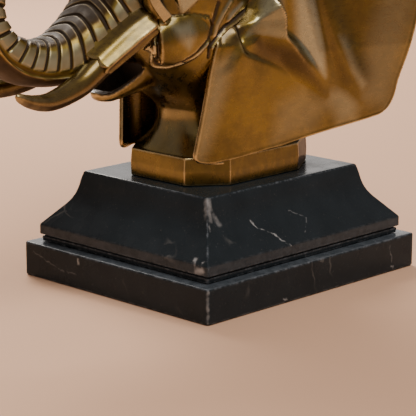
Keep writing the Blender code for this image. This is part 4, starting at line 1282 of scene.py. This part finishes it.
class BUST_OT_body(bpy.types.Operator):
    """Build neck, head, jaw, cheeks, brows and eyes as one skin, the foot, and the brow's straps"""
    bl_idname = "mesh.bust_body"
    bl_label = "Head and Neck"

    def execute(self, context):
        settings = context.scene.bust_bronze
        forms = [body_form(HEAD_FORM, 110, 96), body_form(NECK_FORM, 70, 72), jaw_form(60, 48)]
        paired = [ball_form(*CHEEK_LUMP), ball_form(*EYE_LUMP), round_path(BROW_RIDGE, 60, 24)]
        forms += paired + [mirrored(form) for form in paired]
        points, faces, first = [], [], 0
        for form in forms:
            more, quads = closed_tube(form)
            points.append(more)
            faces += [[i + first for i in face] for face in quads]
            first += len(more)
        body = add_mesh("bronze_head_and_neck", np.concatenate(points), faces)
        blend = body.modifiers.new("blend", "REMESH")
        blend.mode = "VOXEL"
        blend.voxel_size = settings.voxel
        mesh = apply_modifiers(body, context)
        relax(mesh, settings.relax_rounds)
        positions, normals = vertex_arrays(mesh)
        swell = lattice_noise(positions, 14 * MM, 21) * 0.3 + lattice_noise(positions, 5 * MM, 22) * 0.08
        swell = swell * ease(positions[:, 2], SEAT, SEAT + 6 * MM) + face_relief(positions, normals)
        set_positions(mesh, positions + normals * (swell * MM)[:, None])
        mouth = add_mesh("mouth", *closed_tube(jaw_form(60, 48, wall=1.3, lift=6.0, start=0.34)))
        cut = body.modifiers.new("mouth", "BOOLEAN")
        cut.operation = "DIFFERENCE"
        cut.solver = "EXACT"
        cut.object = mouth
        apply_modifiers(body, context)
        bpy.data.objects.remove(mouth)
        paint_curvature(body, 0.0022, 3)
        positions, normals = vertex_arrays(body.data)
        paint(body, "tone_and_painted_light", face_tone_and_light(side_places(positions)[2]))
        # Painted shade: a dull brown coat inside the mouth.
        paint(body, "dust_and_shade", mouth_shade(positions, normals))
        thin = body.modifiers.new("thin", "DECIMATE")
        triangles = sum(len(face.vertices) - 2 for face in body.data.polygons)
        thin.ratio = min(1, TRIANGLE_LIMIT / triangles)
        apply_modifiers(body, context)
        finish_piece(body, "elephant_bust", "cast bronze")
        add_bronze(
            "bronze_foot", *closed_tube(foot_form()), "cast bronze", (0.0016, 0),
            lambda positions, normals: -1.7 * ease(positions[:, 1], 24 * MM, 27 * MM), 60)
        for side, form in both_sides(band_form(BAND_FORM, 24, 1.3)):
            add_bronze(
                f"bronze_strap_{side}", *closed_tube(form), "tusk bronze", (0.0025, 0),
                lambda positions, normals: np.full(len(positions), 0.6), 24)
        return {"FINISHED"}


class BUST_OT_trunk(bpy.types.Operator):
    """Build the ribbed trunk"""
    bl_idname = "mesh.bust_trunk"
    bl_label = "Trunk"

    def execute(self, context):
        rings, tone_and_painted_light = trunk_form(context.scene.bust_bronze.rib_depth)
        tone_and_painted_light = np.clip(np.r_[tone_and_painted_light.ravel(), 0, 0], -2, 1)
        add_bronze(
            "bronze_trunk", *closed_tube(rings), "ribbed bronze", (0.0014, 0),
            lambda positions, normals: tone_and_painted_light)
        return {"FINISHED"}


class BUST_OT_tusks(bpy.types.Operator):
    """Build both tusks and their sheaths"""
    bl_idname = "mesh.bust_tusks"
    bl_label = "Tusks and Sheaths"

    def execute(self, context):
        # Painted shade on the undersides of tusks and sheaths; the sheath's faces that look up are darkened a
        # little too.
        for side, form in both_sides(round_path(TUSK_FORM, 110, 56, 0.045)):
            add_bronze(
                f"bronze_tusk_{side}", *closed_tube(form), "tusk bronze", (0.0025, 2),
                lambda positions, normals: self.painted_underside_shade(normals) - 0.5, 60)
        for side, form in both_sides(sheath_form()):
            add_bronze(
                f"bronze_sheath_{side}", *closed_tube(form), "tusk bronze", (0.0025, 2),
                lambda positions, normals: self.painted_underside_shade(normals) - 0.6 * ease(normals[:, 2], 0.5, 0.75), 24)
        return {"FINISHED"}

    def painted_underside_shade(self, normals):
        """Painted shade: darker brown tone on faces that look down."""
        return -1.3 * ease(-normals[:, 2], 0.1, 0.7)


class BUST_OT_ears(bpy.types.Operator):
    """Build both ears"""
    bl_idname = "mesh.bust_ears"
    bl_label = "Ears"

    def execute(self, context):
        points, faces = ear_mesh(context.scene.bust_bronze.ear_thickness)
        for side, form in both_sides(points):
            add_bronze(f"bronze_ear_{side}", form, faces.tolist(), "ear bronze", (0.0016, 1), ear_tone_and_light, 60)
        return {"FINISHED"}


class BUST_OT_stage(bpy.types.Operator):
    """Build the floor, the lights and the camera"""
    bl_idname = "object.bust_stage"
    bl_label = "Stage"

    def execute(self, context):
        stage = context.scene.bust_stage
        bpy.ops.mesh.primitive_plane_add(size=12, location=(0, 0, -0.2 * MM))
        floor = context.active_object
        floor.name = "floor"
        coat = bpy.data.materials.new("floor paint")
        coat.use_nodes = True
        shader = coat.node_tree.nodes["Principled BSDF"]
        shader.inputs["Base Color"].default_value = (*stage.floor_colour, 1)
        shader.inputs["Roughness"].default_value = 0.9
        floor.data.materials.append(coat)
        world = bpy.data.worlds.new("studio")
        context.scene.world = world
        world.use_nodes = True
        sky = world.node_tree.nodes["Background"]
        sky.inputs["Color"].default_value = SKY_COLOUR
        sky.inputs["Strength"].default_value = SKY_STRENGTH
        for light in LIGHTS:
            self.add_light(*light)
        self.add_camera(context, stage)
        return {"FINISHED"}

    def add_light(self, name, place, size, power, colour):
        """Square soft light aimed at the bust."""
        data = bpy.data.lights.new(name, "AREA")
        data.size = size
        data.energy = power
        data.color = colour
        lamp = bpy.data.objects.new(name, data)
        lamp.location = place
        aim = Vector(LIGHT_TARGET) - Vector(place)
        lamp.rotation_euler = aim.to_track_quat("-Z", "Y").to_euler()
        bpy.context.scene.collection.objects.link(lamp)

    def add_camera(self, context, stage):
        """Camera on its azimuth and elevation about the target."""
        data = bpy.data.cameras.new("camera")
        data.sensor_width = 36
        data.lens = stage.focal_share * data.sensor_width
        camera = bpy.data.objects.new("camera", data)
        level = math.cos(stage.elevation)
        away = Vector((
            math.sin(stage.azimuth) * level, -math.cos(stage.azimuth) * level, math.sin(stage.elevation)))
        camera.location = Vector(stage.target) + away * stage.distance
        camera.rotation_euler = away.to_track_quat("Z", "Y").to_euler()
        context.scene.collection.objects.link(camera)
        context.scene.camera = camera


GROUPS = {"bust_marble": BUST_PG_marble, "bust_bronze": BUST_PG_bronze, "bust_stage": BUST_PG_stage}
STEPS = (BUST_OT_shaders, BUST_OT_slab, BUST_OT_block, BUST_OT_body, BUST_OT_trunk, BUST_OT_tusks,
         BUST_OT_ears, BUST_OT_stage)


class BUST_PT_panel(bpy.types.Panel):
    """Steps and settings of the bust"""
    bl_label = "Elephant Bust"
    bl_idname = "BUST_PT_panel"
    bl_space_type = "VIEW_3D"
    bl_region_type = "UI"
    bl_category = "Elephant Bust"

    def draw(self, context):
        for label in GROUPS:
            group = getattr(context.scene, label)
            for name in group.bl_rna.properties.keys():
                if name not in ("rna_type", "name"):
                    self.layout.prop(group, name)
        for step in STEPS:
            self.layout.operator(step.bl_idname)


CLASSES = (*GROUPS.values(), *STEPS, BUST_PT_panel)


def register():
    for cls in CLASSES:
        bpy.utils.register_class(cls)
    for label, group in GROUPS.items():
        setattr(bpy.types.Scene, label, PointerProperty(type=group))


def unregister():
    for label in GROUPS:
        delattr(bpy.types.Scene, label)
    for cls in reversed(CLASSES):
        bpy.utils.unregister_class(cls)


def main():
    register()
    for step in STEPS:
        area, name = step.bl_idname.split(".")
        getattr(getattr(bpy.ops, area), name)()


if __name__ == "__main__":
    main()
